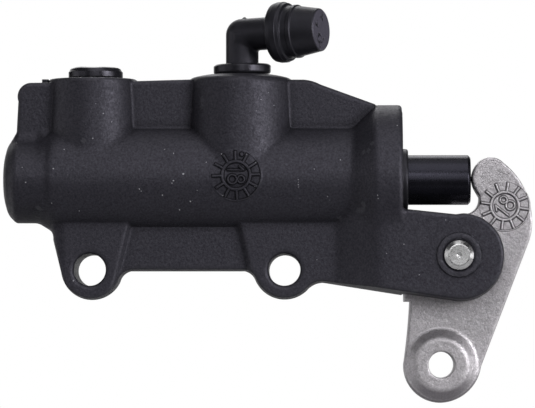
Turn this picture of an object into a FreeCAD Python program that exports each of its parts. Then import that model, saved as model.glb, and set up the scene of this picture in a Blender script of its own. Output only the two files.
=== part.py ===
import FreeCAD, Part
import os
import sys

import Sketcher
from FreeCAD import Placement, Rotation, Vector

# Rear brake master cylinder with a rocker lever, in millimetres, +Z up.
# The origin is midway between the two mounting holes, on the rear mounting face (the plane Y = 0).
# The bore runs along X, the lever is at +X, and the front of the casting faces -Y.

# ---------------------------------------------------------------- driving dimensions
# Sizes named _left, _depth, _down, _front or _apex are distances towards -X, -Y, -Z, -Y and -X.
SIZES = {
    # bore axis, in front of the mounting face and above the mounting holes
    "axis_depth": 13.4,
    "axis_height": 18.63,
    # casting, along the bore
    "end_boss_radius": 8.93,
    "end_boss_root": 27.0,  # the end boss runs into the barrel as far as X = -27
    "end_dome_radius": 31.0,
    "end_dome_apex": 38.15,
    "end_boss_right": 29.7,  # X = -29.7, where the step up to the barrel starts
    "barrel_radius": 11.4,
    "barrel_left": 27.7,
    "barrel_right": 34.14,
    "flare_right": 38.6,
    "flange_radius": 15.5,
    "mouth_face": 44.3,
    # casting, web and lower plate
    "hole_half_spacing": 20.0,
    "mount_hole_radius": 3.3,
    "web_half": 4.4,
    "lug_half": 7.0,
    "panel_half": 5.8,
    "slope_left": 30.9,  # X where the lower plate starts to thicken towards the ear
    "plan_left": 34.0,
    "plan_right": 70.0,
    "plan_down": 12.0,
    "plan_above_axis": 2.0,
    "slot_half": 5.6,
    # casting, port bosses
    "outlet_boss_radius": 9.3,
    "outlet_boss_left": 19.7,
    "outlet_boss_top": 39.5,
    "inlet_boss_radius": 10.9,
    "inlet_boss_x": 10.88,
    "inlet_boss_top": 40.6,
    "inlet_cone_height": 1.15,
    "inlet_cone_radius": 7.3,
    # bore and ports
    "bore_radius": 6.5,
    "bore_end": 35.3,
    "seat_radius": 7.5,
    "seat_start": 38.0,
    "ring_groove_radius": 8.1,
    "ring_groove_start": 39.1,
    "ring_groove_width": 1.1,
    "port_cut_height": 20.0,
    "outlet_left": 19.15,
    "outlet_radius": 4.55,
    "outlet_floor": 27.5,
    "outlet_drill_radius": 1.5,
    "outlet_drill_depth": 5.0,
    "inlet_x": 11.23,
    "inlet_radius": 4.75,
    "inlet_floor": 31.0,
    "inlet_drill_depth": 8.0,
    "supply_radius": 1.0,
    "supply_offset": 3.5,
    "compensate_radius": 0.4,
    "compensate_offset": 2.8,
    # how far cutting tools run past the faces they open
    "overrun": 1.0,
    "recess_overrun": 5.0,
    "casting_drill_front": 35.0,
    "casting_drill_length": 40.0,
    "lever_drill_front": 28.0,
    "lever_drill_length": 30.0,
    # pivot
    "pivot_x": 55.7,
    "pivot_z": 2.85,
    "pin_radius": 3.0,
    "pin_overhang": 1.25,
    "pin_pad_radius": 4.55,
    "pin_pad_height": 0.3,
    "clip_recess_depth": 1.8,
    "clip_recess_radius": 4.9,
    "pin_clip_outer": 4.4,
    "pin_clip_inner": 2.45,
    "pin_clip_thick": 0.6,
    "pin_clip_front": 1.76,
    "clip_mouth_width": 3.6,
    "clip_mouth_depth": 2.0,
    "clip_mouth_front": 2.4,
    "clip_mouth_height": 6.0,
    "clip_mouth_down": 6.5,
    # lever
    "lever_half": 5.0,
    "lever_bore_radius": 4.0,
    "eye_x": 52.26,
    "eye_down": 19.54,
    "eye_hole_radius": 2.7,
    "eye_pad_base_radius": 7.4,
    "eye_pad_top_radius": 5.4,
    "eye_pad_height": 1.8,
    "bush_outer_radius": 3.98,
    "bush_inner_radius": 3.03,
    "side_washer_outer": 5.5,
    "side_washer_inner": 3.06,
    "side_washer_thick": 0.45,
    "side_washer_gap": 0.07,
    # hose elbow
    "elbow_radius": 3.37,
    "elbow_bore_radius": 1.7,
    "elbow_stem_radius": 2.85,
    "elbow_stem_bottom": 31.4,
    "elbow_shoulder": 42.55,
    "elbow_arm_height": 48.67,
    "elbow_arm_length": 15.0,
    "elbow_barb_radius": 3.3,
    "elbow_barb_height": 1.1,
    "elbow_barb_rise": 0.2,
    # spring
    "spring_mean_radius": 4.1,
    "spring_wire_radius": 0.55,
    "spring_left": 35.2,
    "spring_right": 9.95,
    "spring_turns": 9.0,
    # rings at the mouth
    "stop_washer_start": 38.02,
    "stop_washer_inner": 5.3,
    "stop_washer_thick": 1.0,
    "stop_washer_clearance": 0.1,
    "retaining_ring_inner": 6.3,
    "retaining_ring_thick": 1.0,
    "retaining_ring_clearance": 0.05,
    "ring_gap_start": 38.6,
    "ring_gap_length": 2.0,
    "ring_gap_width": 5.0,
    "ring_gap_height": 6.0,
    "ring_gap_down": 9.0,
    # where the turned parts start, along X in the bore and along Z in the ports
    "plunger_start": 28.0,
    "piston_start": 12.7,
    "primary_cup_start": 9.1,
    "cup_shim_start": 12.42,
    "spring_seat_start": 6.5,
    "secondary_cup_start": 30.05,
    "dust_wiper_start": 40.62,
    "inlet_grommet_start": 32.8,
    "outlet_plug_start": 33.5,
}
ARM_YAW = -24.0  # the elbow's arm, degrees about +Z from +X, so it points a little to the front
ARM_RISE = 2.0  # degrees above the horizontal
CAP_ALONG_ARM = 7.8  # from the elbow's knee to the cap's own origin

# Boxes that only cut: everything behind the mounting face, and the lever's slot.
BEHIND_SIZE = (120.0, 10.0, 80.0)
BEHIND_CORNER = (-50.0, 0.0, -20.0)
SLOT_LENGTH = 30.0
SLOT_HEIGHT = 40.0
SLOT_BOTTOM = -20.0

doc = FreeCAD.newDocument("BrakeMasterCylinder")
sheet = doc.addObject("Spreadsheet::Sheet", "Dims")
for row, (alias, size) in enumerate(SIZES.items(), start=1):
    sheet.set(f"A{row}", alias)
    sheet.set(f"B{row}", repr(size))
    sheet.setAlias(f"B{row}", alias)
doc.recompute()

# ---------------------------------------------------------------- directions and places
NO_TURN = Rotation()
# A cylinder or cone has its axis on its own Z.
Z_TO_X = Rotation(Vector(0, 1, 0), 90)
Z_TO_BACK = Rotation(Vector(1, 0, 0), -90)  # own Z becomes +Y
# A turned part has its axis on its own X.
X_TO_Z = Rotation(Vector(0, 1, 0), -90)
X_TO_BACK = Rotation(Vector(0, 0, 1), 90)
X_TO_ARM = Rotation(Vector(0, 0, 1), ARM_YAW).multiply(Rotation(Vector(0, 1, 0), -ARM_RISE))
Z_TO_ARM = Rotation(Vector(0, 0, 1), X_TO_ARM.multVec(Vector(1, 0, 0)))
PLANE_XZ = Rotation(Vector(1, 0, 0), 90)  # a sketch's x, y become X, Z, and its normal is -Y

AXIS_Y = "-Dims.axis_depth"
AXIS_Z = "Dims.axis_height"


def on_bore(x):
    return (x, AXIS_Y, AXIS_Z)


def at_inlet(z):
    return ("Dims.inlet_x", AXIS_Y, z)


def at_outlet(z):
    return ("-Dims.outlet_left", AXIS_Y, z)


def at_pivot(y):
    return ("Dims.pivot_x", y, "Dims.pivot_z")


def at_eye(y):
    return ("Dims.eye_x", y, "-Dims.eye_down")


# ---------------------------------------------------------------- modelling helpers
def place(obj, rotation, xyz):
    """xyz: three numbers or expressions; an expression binds that coordinate to the sheet."""
    base = [0.0 if isinstance(value, str) else value for value in xyz]
    obj.Placement = Placement(Vector(*base), rotation)
    for axis, value in zip("xyz", xyz):
        if isinstance(value, str):
            obj.setExpression("Placement.Base." + axis, value)
    return obj


def primitive(kind, name, rotation, xyz, **sizes):
    obj = doc.addObject("Part::" + kind, name)
    for prop, value in sizes.items():
        obj.setExpression(prop, str(value))
    return place(obj, rotation, xyz)


def cylinder(name, radius, height, rotation, xyz):
    return primitive("Cylinder", name, rotation, xyz, Radius=radius, Height=height)


def cone(name, radius1, radius2, height, rotation, xyz):
    return primitive("Cone", name, rotation, xyz, Radius1=radius1, Radius2=radius2, Height=height)


def sphere(name, radius, xyz):
    return primitive("Sphere", name, NO_TURN, xyz, Radius=radius)


def box(name, size, corner):
    length, width, height = size
    return primitive("Box", name, NO_TURN, corner, Length=length, Width=width, Height=height)


def fuse(name, shapes):
    fusion = doc.addObject("Part::MultiFuse", name)
    fusion.Shapes = shapes
    return fusion


def combine(kind, name, base, tool):
    result = doc.addObject(kind, name)
    result.Base = base
    result.Tool = tool
    return result


def cut(name, base, tool):
    return combine("Part::Cut", name, base, tool)


def common(name, base, tool):
    return combine("Part::Common", name, base, tool)


def ring(name, outer, inner, thickness, rotation, xyz):
    """A flat ring, as a cut of two cylinders."""
    disc = cylinder(name + "_disc", outer, thickness, rotation, xyz)
    hole = cylinder(name + "_hole", inner, thickness, rotation, xyz)
    return cut(name, disc, hole)


def cross_drill(part, name, radius, x, z):
    """A drill along Y, right through the part ("casting" or "lever")."""
    return cylinder(name, radius, f"Dims.{part}_drill_length", Z_TO_BACK,
                    (x, f"-Dims.{part}_drill_front", z))


def outline(name, path, rotation, xyz):
    """A sketch of lines and arcs, closed by a line.

    path: the start (x, y), then (x, y) for a line, or (through x, y, end x, y) for an arc.
    """
    sketch = doc.addObject("Sketcher::SketchObject", name)
    first = here = Vector(*path[0], 0)
    geometry = []
    for step in path[1:]:
        end = Vector(*step[-2:], 0)
        if len(step) == 4:
            geometry.append(Part.Arc(here, Vector(*step[:2], 0), end))
        else:
            geometry.append(Part.LineSegment(here, end))
        here = end
    geometry.append(Part.LineSegment(here, first))
    sketch.addGeometry(geometry, False)
    return place(sketch, rotation, xyz)


def extrude(name, sketch, length, symmetric=False):
    extrusion = doc.addObject("Part::Extrusion", name)
    extrusion.Base = sketch
    extrusion.DirMode = "Normal"
    extrusion.Solid = True
    extrusion.Symmetric = symmetric
    extrusion.setExpression("LengthFwd", length)
    return extrusion


def coordinate(entry):
    """The value of a profile coordinate, and its expression if it is an (alias, offset) pair."""
    if isinstance(entry, tuple):
        alias, offset = entry
        return SIZES[alias] + offset, f"Dims.{alias} + ({offset})"
    return float(entry), None


def turned(name, profile, rotation, xyz):
    """A closed half profile of (distance along the axis, radius), revolved about the body's X."""
    body = doc.addObject("PartDesign::Body", name)
    sketch = body.newObject("Sketcher::SketchObject", name + "_profile")
    plane = next(f for f in body.Origin.OriginFeatures if f.Role == "XY_Plane")
    sketch.AttachmentSupport = [(plane, "")]
    sketch.MapMode = "FlatFace"
    entries = [(coordinate(along), coordinate(radius)) for along, radius in profile]
    points = [Vector(along[0], radius[0], 0) for along, radius in entries]
    following = points[1:] + points[:1]
    sketch.addGeometry([Part.LineSegment(a, b) for a, b in zip(points, following)], False)
    count = len(points)
    for i in range(count):
        sketch.addConstraint(Sketcher.Constraint("Coincident", i, 2, (i + 1) % count, 1))
    for i, (along, radius) in enumerate(entries):
        # -2 is the sketch's vertical axis and -1 its horizontal one
        for kind, axis, (value, source) in (("DistanceX", -2, along), ("DistanceY", -1, radius)):
            if abs(value) < 1e-9:
                sketch.addConstraint(Sketcher.Constraint("PointOnObject", i, 1, axis))
                continue
            index = sketch.addConstraint(Sketcher.Constraint(kind, -1, 1, i, 1, value))
            if source:
                sketch.setExpression(f"Constraints[{index}]", source)
    revolution = body.newObject("PartDesign::Revolution", name + "_turn")
    revolution.Profile = sketch
    revolution.ReferenceAxis = (sketch, ["H_Axis"])
    revolution.Angle = 360.0
    body.Tip = revolution
    return place(body, rotation, xyz)


# ---------------------------------------------------------------- body casting
# Outlines seen from the front, as X, Z; arcs have four numbers.
# Upper web, with its sloped shoulder towards the flange.
WEB = [
    (-35.52, 24.86), (-35.27, 30.23), (-35.03, 34.78),
    (-34.43, 37.77, -32.52, 38.75), (-28.39, 38.79), (-11.13, 39.08),
    (0.44, 39.41), (23.8, 39.37), (25.66, 39.08, 27.42, 38.37),
    (38.79, 34.24), (39.72, 24.86),
]
# Lower plate: the mounting lugs and the ear that carries the pivot.
LOWER = [
    (-30.97, 16.59), (-30.97, 9.73), (-28.8, 8.73, -27.85, 6.15),
    (-26.16, -0.78), (-19.98, -6.17, -13.92, -2.39), (-13.09, -0.98, -11.65, -0.26),
    (11.81, -0.26), (13.22, -1.02, 13.98, -2.16), (19.98, -6.09, 24.94, -3.88),
    (26.28, -2.99, 27.94, -2.64), (44.31, -5.22), (54.19, -6.62),
    (62.76, -4.08, 65.43, 1.91), (63.18, 8.98, 56.67, 11.9), (55.22, 11.71),
    (45.61, 12.74), (39.72, 12.81), (39.72, 16.59),
]
# Thinner panel between the lugs.
PANEL = [(-10.6, 14.0), (-15.3, -4.9), (13.9, -4.9), (9.6, 14.0)]


def barrel_shapes():
    """The domed closed end, a step, the main barrel, a flare and the mouth flange."""
    end_cylinder = cylinder("EndBossCylinder", "Dims.end_boss_radius",
                            "Dims.end_dome_apex - Dims.end_boss_root", Z_TO_X,
                            on_bore("-Dims.end_dome_apex"))
    dome = sphere("EndDome", "Dims.end_dome_radius",
                  on_bore("Dims.end_dome_radius - Dims.end_dome_apex"))
    end_boss = common("EndBoss", end_cylinder, dome)
    step = cone("EndStep", "Dims.end_boss_radius", "Dims.barrel_radius",
                "Dims.end_boss_right - Dims.barrel_left", Z_TO_X, on_bore("-Dims.end_boss_right"))
    barrel = cylinder("Barrel", "Dims.barrel_radius", "Dims.barrel_left + Dims.barrel_right",
                      Z_TO_X, on_bore("-Dims.barrel_left"))
    flare = cone("Flare", "Dims.barrel_radius", "Dims.flange_radius",
                 "Dims.flare_right - Dims.barrel_right", Z_TO_X, on_bore("Dims.barrel_right"))
    flange = cylinder("MouthFlange", "Dims.flange_radius", "Dims.mouth_face - Dims.flare_right",
                      Z_TO_X, on_bore("Dims.flare_right"))
    return [end_boss, step, barrel, flare, flange]


def port_bosses():
    """Upright bosses that start on the bore axis; the inlet's has a conical top."""
    outlet = cylinder("OutletBoss", "Dims.outlet_boss_radius",
                      "Dims.outlet_boss_top - Dims.axis_height", NO_TURN,
                      on_bore("-Dims.outlet_boss_left"))
    inlet = cylinder("InletBoss", "Dims.inlet_boss_radius",
                     "Dims.inlet_boss_top - Dims.inlet_cone_height - Dims.axis_height", NO_TURN,
                     on_bore("Dims.inlet_boss_x"))
    inlet_top = cone("InletBossTop", "Dims.inlet_boss_radius", "Dims.inlet_cone_radius",
                     "Dims.inlet_cone_height", NO_TURN,
                     ("Dims.inlet_boss_x", AXIS_Y, "Dims.inlet_boss_top - Dims.inlet_cone_height"))
    return [outlet, inlet, inlet_top]


def lower_plate():
    """The front outline kept inside a plan that thickens towards the ear, with a thin panel."""
    slab = extrude("LowerSlab", outline("LowerOutline", LOWER, PLANE_XZ, (0, 0, 0)),
                   "2 * Dims.axis_depth")
    left, right = -SIZES["plan_left"], SIZES["plan_right"]
    front_lug = -(SIZES["axis_depth"] + SIZES["lug_half"])
    front_ear = -2 * SIZES["axis_depth"]
    plan_path = [  # X, Y
        (left, 0.0), (left, front_lug), (SIZES["slope_left"], front_lug),
        (SIZES["flare_right"], front_ear), (right, front_ear), (right, 0.0),
    ]
    plan = extrude("LowerPlan",
                   outline("PlanOutline", plan_path, NO_TURN, (0, 0, "-Dims.plan_down")),
                   "Dims.axis_height + Dims.plan_above_axis + Dims.plan_down")
    lower = common("Lower", slab, plan)
    front_sketch = outline("FrontPanelOutline", PANEL, PLANE_XZ,
                           (0, AXIS_Y + " - Dims.panel_half", 0))
    front_panel = extrude("FrontPanel", front_sketch, "Dims.lug_half")
    rear_sketch = outline("RearPanelOutline", PANEL, PLANE_XZ, (0, "Dims.overrun", 0))
    rear_panel = extrude("RearPanel", rear_sketch,
                         "Dims.axis_depth - Dims.panel_half + Dims.overrun")
    return cut("LowerThin", cut("LowerFront", lower, front_panel), rear_panel)


def bore_tools():
    bore = cylinder("Bore", "Dims.bore_radius", "Dims.bore_end + Dims.mouth_face + Dims.overrun",
                    Z_TO_X, on_bore("-Dims.bore_end"))
    seat = cylinder("MouthSeat", "Dims.seat_radius",
                    "Dims.mouth_face - Dims.seat_start + Dims.overrun", Z_TO_X,
                    on_bore("Dims.seat_start"))
    groove = cylinder("RingGroove", "Dims.ring_groove_radius", "Dims.ring_groove_width", Z_TO_X,
                      on_bore("Dims.ring_groove_start"))
    return [bore, seat, groove]


def port_tools():
    """The two sockets, and the small drillings from their floors down towards the bore."""
    outlet = cylinder("OutletPort", "Dims.outlet_radius", "Dims.port_cut_height", NO_TURN,
                      at_outlet("Dims.outlet_floor"))
    outlet_drill = cylinder("OutletDrilling", "Dims.outlet_drill_radius",
                            "Dims.outlet_drill_depth + Dims.overrun", NO_TURN,
                            at_outlet("Dims.outlet_floor - Dims.outlet_drill_depth"))
    inlet = cylinder("InletSocket", "Dims.inlet_radius", "Dims.port_cut_height", NO_TURN,
                     at_inlet("Dims.inlet_floor"))
    inlet_drills = [
        cylinder(name, radius, "Dims.inlet_drill_depth + Dims.overrun", NO_TURN,
                 (x, AXIS_Y, "Dims.inlet_floor - Dims.inlet_drill_depth"))
        for name, radius, x in (
            ("SupplyDrilling", "Dims.supply_radius", "Dims.inlet_x + Dims.supply_offset"),
            ("CompensatingDrilling", "Dims.compensate_radius",
             "Dims.inlet_x - Dims.compensate_offset"),
        )
    ]
    return [outlet, outlet_drill, inlet] + inlet_drills


def casting_tools():
    """Everything the casting has machined away."""
    behind = box("BehindFace", BEHIND_SIZE, BEHIND_CORNER)
    slot = box("LeverSlot", (SLOT_LENGTH, "2 * Dims.slot_half", SLOT_HEIGHT),
               ("Dims.mouth_face", AXIS_Y + " - Dims.slot_half", SLOT_BOTTOM))
    holes = [
        cross_drill("casting", name, radius, x, z)
        for name, radius, x, z in (
            ("MountHoleLeft", "Dims.mount_hole_radius", "-Dims.hole_half_spacing", 0.0),
            ("MountHoleRight", "Dims.mount_hole_radius", "Dims.hole_half_spacing", 0.0),
            ("PinHole", "Dims.pin_radius", "Dims.pivot_x", "Dims.pivot_z"),
        )
    ]
    recess = cylinder("ClipRecess", "Dims.clip_recess_radius",
                      "Dims.clip_recess_depth + Dims.recess_overrun", Z_TO_BACK,
                      at_pivot("-Dims.clip_recess_depth"))
    shapes = [behind, slot] + bore_tools() + port_tools() + holes + [recess]
    return fuse("CastingTools", shapes)


def build_casting():
    web = extrude("Web", outline("WebOutline", WEB, PLANE_XZ, (0, AXIS_Y, 0)),
                  "2 * Dims.web_half", symmetric=True)
    solid = fuse("CastingSolid", barrel_shapes() + [web] + port_bosses() + [lower_plate()])
    # The raised pad around the pin, sunk into the front of the ear.
    pin_pad = cylinder("PinPad", "Dims.pin_pad_radius", "Dims.pin_pad_height + Dims.overrun",
                       Z_TO_BACK, at_pivot("-2 * Dims.axis_depth - Dims.pin_pad_height"))
    return cut("body_casting", fuse("CastingAndPad", [solid, pin_pad]), casting_tools())


# ---------------------------------------------------------------- turned parts
# Profiles are (along the axis, radius); an (alias, offset) pair follows a driving dimension.
PISTON_LAND = ("bore_radius", -0.05)
CUP_LIP = ("bore_radius", -0.03)
WIPER_OUTER = ("seat_radius", -0.02)
STEM_HOLE = ("elbow_stem_radius", 0.05)
GROMMET_OUTER = ("inlet_radius", -0.02)
CAP_HOLE = ("elbow_radius", 0.04)
PIN_SHANK = ("pin_radius", -0.005)

BORE_PROFILES = {
    "plunger": [
        (0, 0), (0, 3.0), (6.0, 3.0), (6.0, 5.15), (30.0, 5.15), (30.4, 4.75), (30.4, 0),
    ],
    "piston": [
        (0, 0), (0, PISTON_LAND), (1.9, PISTON_LAND), (1.9, 4.0), (15.3, 4.0),
        (15.3, PISTON_LAND), (17.3, PISTON_LAND), (17.3, 4.2), (20.5, 4.2),
        (20.5, PISTON_LAND), (25.0, PISTON_LAND), (25.0, 5.2), (21.25, 5.2),
        (21.25, 3.05), (15.2, 3.05), (15.2, 0),
    ],
    "primary_cup": [
        (0, 5.3), (0, CUP_LIP), (3.3, ("bore_radius", -0.2)), (3.3, 0), (2.1, 0), (2.1, 5.0),
    ],
    "cup_shim": [
        (0, 0.8), (0, ("bore_radius", -0.3)), (0.26, ("bore_radius", -0.3)), (0.26, 0.8),
    ],
    "spring_seat": [
        (0, 0), (0, 2.2), (0.4, 2.6), (3.5, 2.6), (3.5, 4.8), (4.62, 4.8), (4.62, 0),
    ],
    "secondary_cup": [
        (0, 4.25), (0, 4.7), (1.4, 5.1), (0, 5.6), (0, CUP_LIP),
        (3.1, ("bore_radius", -0.15)), (3.1, 4.25),
    ],
    "dust_wiper": [
        (0, 5.8), (0, WIPER_OUTER), (3.65, WIPER_OUTER), (3.65, 6.4), (4.6, 6.4), (4.9, 6.1),
        (4.9, 5.2), (4.3, 5.2), (3.4, 5.8),
    ],
}
GROMMET_PROFILE = [
    (0, STEM_HOLE), (0, 4.5), (0.4, GROMMET_OUTER), (7.84, GROMMET_OUTER),
    (7.84, 5.9), (9.4, 5.9), (9.7, 5.6), (9.7, STEM_HOLE),
]
PLUG_PROFILE = [
    (0, 0), (0, 4.0), (0.5, 4.4), (6.1, 4.4), (6.1, 5.65), (7.9, 5.65), (8.45, 5.1), (8.45, 0),
]
CAP_PROFILE = [
    (-0.4, CAP_HOLE), (-0.4, 5.45), (0.0, 6.02), (1.0, 6.27), (2.15, 6.25), (2.9, 6.0),
    (3.35, 5.4), (4.2, 5.3), (4.55, 5.5), (5.15, 5.5), (5.5, 5.2), (9.95, 4.4), (10.2, 4.1),
    (10.2, 0), (8.4, 0), (8.4, CAP_HOLE),
]
PIN_PROFILE = [
    (0, 0), (0, 1.95), (1.0, PIN_SHANK), (26.27, PIN_SHANK), (26.27, 2.4), (26.93, 2.4),
    (26.93, PIN_SHANK), (27.5, PIN_SHANK), (27.8, 2.7), (27.8, 0),
]


def build_bore_parts():
    return [
        turned(name, profile, NO_TURN, on_bore(f"Dims.{name}_start"))
        for name, profile in BORE_PROFILES.items()
    ]


def build_port_parts():
    grommet = turned("inlet_grommet", GROMMET_PROFILE, X_TO_Z, at_inlet("Dims.inlet_grommet_start"))
    plug = turned("outlet_plug", PLUG_PROFILE, X_TO_Z, at_outlet("Dims.outlet_plug_start"))
    return [grommet, plug]


def build_elbow_cap():
    offset = X_TO_ARM.multVec(Vector(CAP_ALONG_ARM, 0, 0))
    knee = at_inlet("Dims.elbow_arm_height")
    position = [f"{start} + ({shift:.4f})" for start, shift in zip(knee, offset)]
    return turned("elbow_cap", CAP_PROFILE, X_TO_ARM, position)


def build_pivot_pin():
    return turned("pivot_pin", PIN_PROFILE, X_TO_BACK,
                  at_pivot("-2 * Dims.axis_depth - Dims.pin_overhang"))


# ---------------------------------------------------------------- spring and rings
def build_spring():
    """Return spring: a round wire swept along a helix, which no primitive makes."""
    wire_radius = SIZES["spring_wire_radius"]
    mean_radius = SIZES["spring_mean_radius"]
    height = SIZES["spring_left"] + SIZES["spring_right"] - 2 * wire_radius
    helix = Part.makeHelix(height / SIZES["spring_turns"], height, mean_radius)
    section = Part.makeCircle(wire_radius, Vector(mean_radius, 0, 0), Vector(0, 1, 0))
    spring = doc.addObject("Part::Feature", "return_spring")
    spring.Shape = Part.Wire(helix.Edges).makePipeShell([Part.Wire(section)], True, True)
    start = Vector(-SIZES["spring_left"] + wire_radius, -SIZES["axis_depth"], SIZES["axis_height"])
    spring.Placement = Placement(start, Z_TO_X)
    return spring


def build_stop_washer():
    return ring("stop_washer", "Dims.seat_radius - Dims.stop_washer_clearance",
                "Dims.stop_washer_inner", "Dims.stop_washer_thick", Z_TO_X,
                on_bore("Dims.stop_washer_start"))


def build_retaining_ring():
    """An open ring, with its gap at the bottom."""
    blank = ring("RetainingRingBlank", "Dims.ring_groove_radius - Dims.retaining_ring_clearance",
                 "Dims.retaining_ring_inner", "Dims.retaining_ring_thick", Z_TO_X,
                 on_bore("Dims.ring_groove_start + Dims.retaining_ring_clearance"))
    gap = box("RetainingRingGap",
              ("Dims.ring_gap_length", "Dims.ring_gap_width", "Dims.ring_gap_height"),
              ("Dims.ring_gap_start", AXIS_Y + " - Dims.ring_gap_width / 2",
               AXIS_Z + " - Dims.ring_gap_down"))
    return cut("retaining_ring", blank, gap)


def build_pin_clip():
    """An open ring in the groove of the pivot pin, with its mouth at the bottom."""
    blank = ring("PinClipBlank", "Dims.pin_clip_outer", "Dims.pin_clip_inner",
                 "Dims.pin_clip_thick", Z_TO_BACK, at_pivot("-Dims.pin_clip_front"))
    mouth = box("PinClipMouth",
                ("Dims.clip_mouth_width", "Dims.clip_mouth_depth", "Dims.clip_mouth_height"),
                ("Dims.pivot_x - Dims.clip_mouth_width / 2", "-Dims.clip_mouth_front",
                 "Dims.pivot_z - Dims.clip_mouth_down"))
    return cut("pin_clip", blank, mouth)


# ---------------------------------------------------------------- hose elbow
def build_elbow():
    """Stem with a barb, upright tube and arm that meet at a ball, and one passage through it."""
    stem = cylinder("ElbowStem", "Dims.elbow_stem_radius",
                    "Dims.elbow_shoulder - Dims.elbow_stem_bottom", NO_TURN,
                    at_inlet("Dims.elbow_stem_bottom"))
    barb = cone("ElbowBarb", "Dims.elbow_stem_radius", "Dims.elbow_barb_radius",
                "Dims.elbow_barb_height", NO_TURN,
                at_inlet("Dims.elbow_stem_bottom + Dims.elbow_barb_rise"))
    upright = cylinder("ElbowUpright", "Dims.elbow_radius",
                       "Dims.elbow_arm_height - Dims.elbow_shoulder", NO_TURN,
                       at_inlet("Dims.elbow_shoulder"))
    knee_place = at_inlet("Dims.elbow_arm_height")
    knee = sphere("ElbowKnee", "Dims.elbow_radius", knee_place)
    arm = cylinder("ElbowArm", "Dims.elbow_radius", "Dims.elbow_arm_length", Z_TO_ARM, knee_place)
    solid = fuse("ElbowSolid", [stem, barb, upright, knee, arm])
    upright_bore = cylinder("ElbowUprightBore", "Dims.elbow_bore_radius",
                            "Dims.elbow_arm_height - Dims.elbow_stem_bottom + Dims.overrun",
                            NO_TURN, at_inlet("Dims.elbow_stem_bottom - Dims.overrun"))
    arm_bore = cylinder("ElbowArmBore", "Dims.elbow_bore_radius",
                        "Dims.elbow_arm_length + Dims.overrun", Z_TO_ARM, knee_place)
    return cut("elbow_fitting", solid, fuse("ElbowPassage", [upright_bore, arm_bore]))


# ---------------------------------------------------------------- lever and its pivot parts
LEVER = [  # X, Z seen from the front; arcs have four numbers
    (44.46, -6.56), (44.46, -2.64), (45.92, -1.19), (47.99, 0.47),
    (50.26, 5.01, 54.6, 10.59), (57.49, 11.63), (59.68, 13.18, 59.95, 15.04),
    (59.4, 15.97, 58.9, 16.9), (58.88, 20.62, 60.24, 22.48), (62.56, 23.33, 65.24, 22.13),
    (69.52, 16.9, 71.12, 10.7), (71.01, 8.01, 70.25, 5.32), (60.57, -19.89),
    (57.93, -24.98, 52.24, -27.4), (46.58, -25.02, 44.45, -19.48),
    (45.36, -11.73, 45.71, -6.56),
]
LEVER_FRONT = AXIS_Y + " - Dims.lever_half"
LEVER_BACK = AXIS_Y + " + Dims.lever_half"


def build_lever():
    """A plate with a pivot bore, and an eye at the bottom with a conical pad on each side."""
    plate = extrude("LeverPlate", outline("LeverOutline", LEVER, PLANE_XZ, (0, AXIS_Y, 0)),
                    "2 * Dims.lever_half", symmetric=True)
    bore = cross_drill("lever", "LeverBore", "Dims.lever_bore_radius", "Dims.pivot_x",
                       "Dims.pivot_z")
    eye_hole = cross_drill("lever", "EyeHole", "Dims.eye_hole_radius", "Dims.eye_x",
                           "-Dims.eye_down")
    front_pad = cone("FrontEyePad", "Dims.eye_pad_top_radius", "Dims.eye_pad_base_radius",
                     "Dims.eye_pad_height", Z_TO_BACK,
                     at_eye(LEVER_FRONT + " - Dims.eye_pad_height"))
    rear_pad = cone("RearEyePad", "Dims.eye_pad_base_radius", "Dims.eye_pad_top_radius",
                    "Dims.eye_pad_height", Z_TO_BACK, at_eye(LEVER_BACK))
    blank = fuse("LeverBlank", [plate, front_pad, rear_pad])
    return cut("lever", blank, fuse("LeverTools", [bore, eye_hole]))


def build_lever_bush():
    return ring("lever_bush", "Dims.bush_outer_radius", "Dims.bush_inner_radius",
                "2 * Dims.lever_half", Z_TO_BACK, at_pivot(LEVER_FRONT))


def build_side_washers():
    """One washer on each side of the lever, as one piece."""
    washers = doc.addObject("Part::Compound", "side_washers")
    washers.Links = [
        ring(name, "Dims.side_washer_outer", "Dims.side_washer_inner", "Dims.side_washer_thick",
             Z_TO_BACK, at_pivot(y))
        for name, y in (
            ("FrontSideWasher", LEVER_FRONT + " - Dims.side_washer_gap - Dims.side_washer_thick"),
            ("RearSideWasher", LEVER_BACK + " + Dims.side_washer_gap"),
        )
    ]
    return washers


# ---------------------------------------------------------------- build, check and write
pieces = [build_casting(), *build_bore_parts(), build_spring(), build_stop_washer(),
          build_retaining_ring(), *build_port_parts(), build_elbow(), build_elbow_cap(),
          build_lever(), build_lever_bush(), build_side_washers(), build_pivot_pin(),
          build_pin_clip()]
doc.recompute()

bad = [f"{obj.Name} {obj.State}" for obj in doc.Objects
       if any(state in ("Invalid", "Error") for state in obj.State)]
for piece in pieces:
    shape = piece.Shape
    if shape.isNull() or not shape.isValid() or not shape.Solids:
        bad.append(piece.Name + " has no valid solid")
if bad:
    print("FAILED:", bad)
    sys.exit(1)

os.makedirs("parts", exist_ok=True)
for piece in pieces:
    piece.Label = piece.Name
    piece.Shape.exportStep(os.path.join("parts", piece.Name + ".step"))
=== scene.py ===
"""A black cast cylinder with a raw cast lever, a hose elbow and a plugged port on top.

The bore runs along X: its closed end is on the left (-X), its open end on the right (+X), by the
lever. Z is up. The camera looks along +Y, so the front is -Y; the casting's back is flat at y = 0.
Shapes are worked out in millimetres and scaled to metres when a mesh is made.
"""
import math

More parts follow.
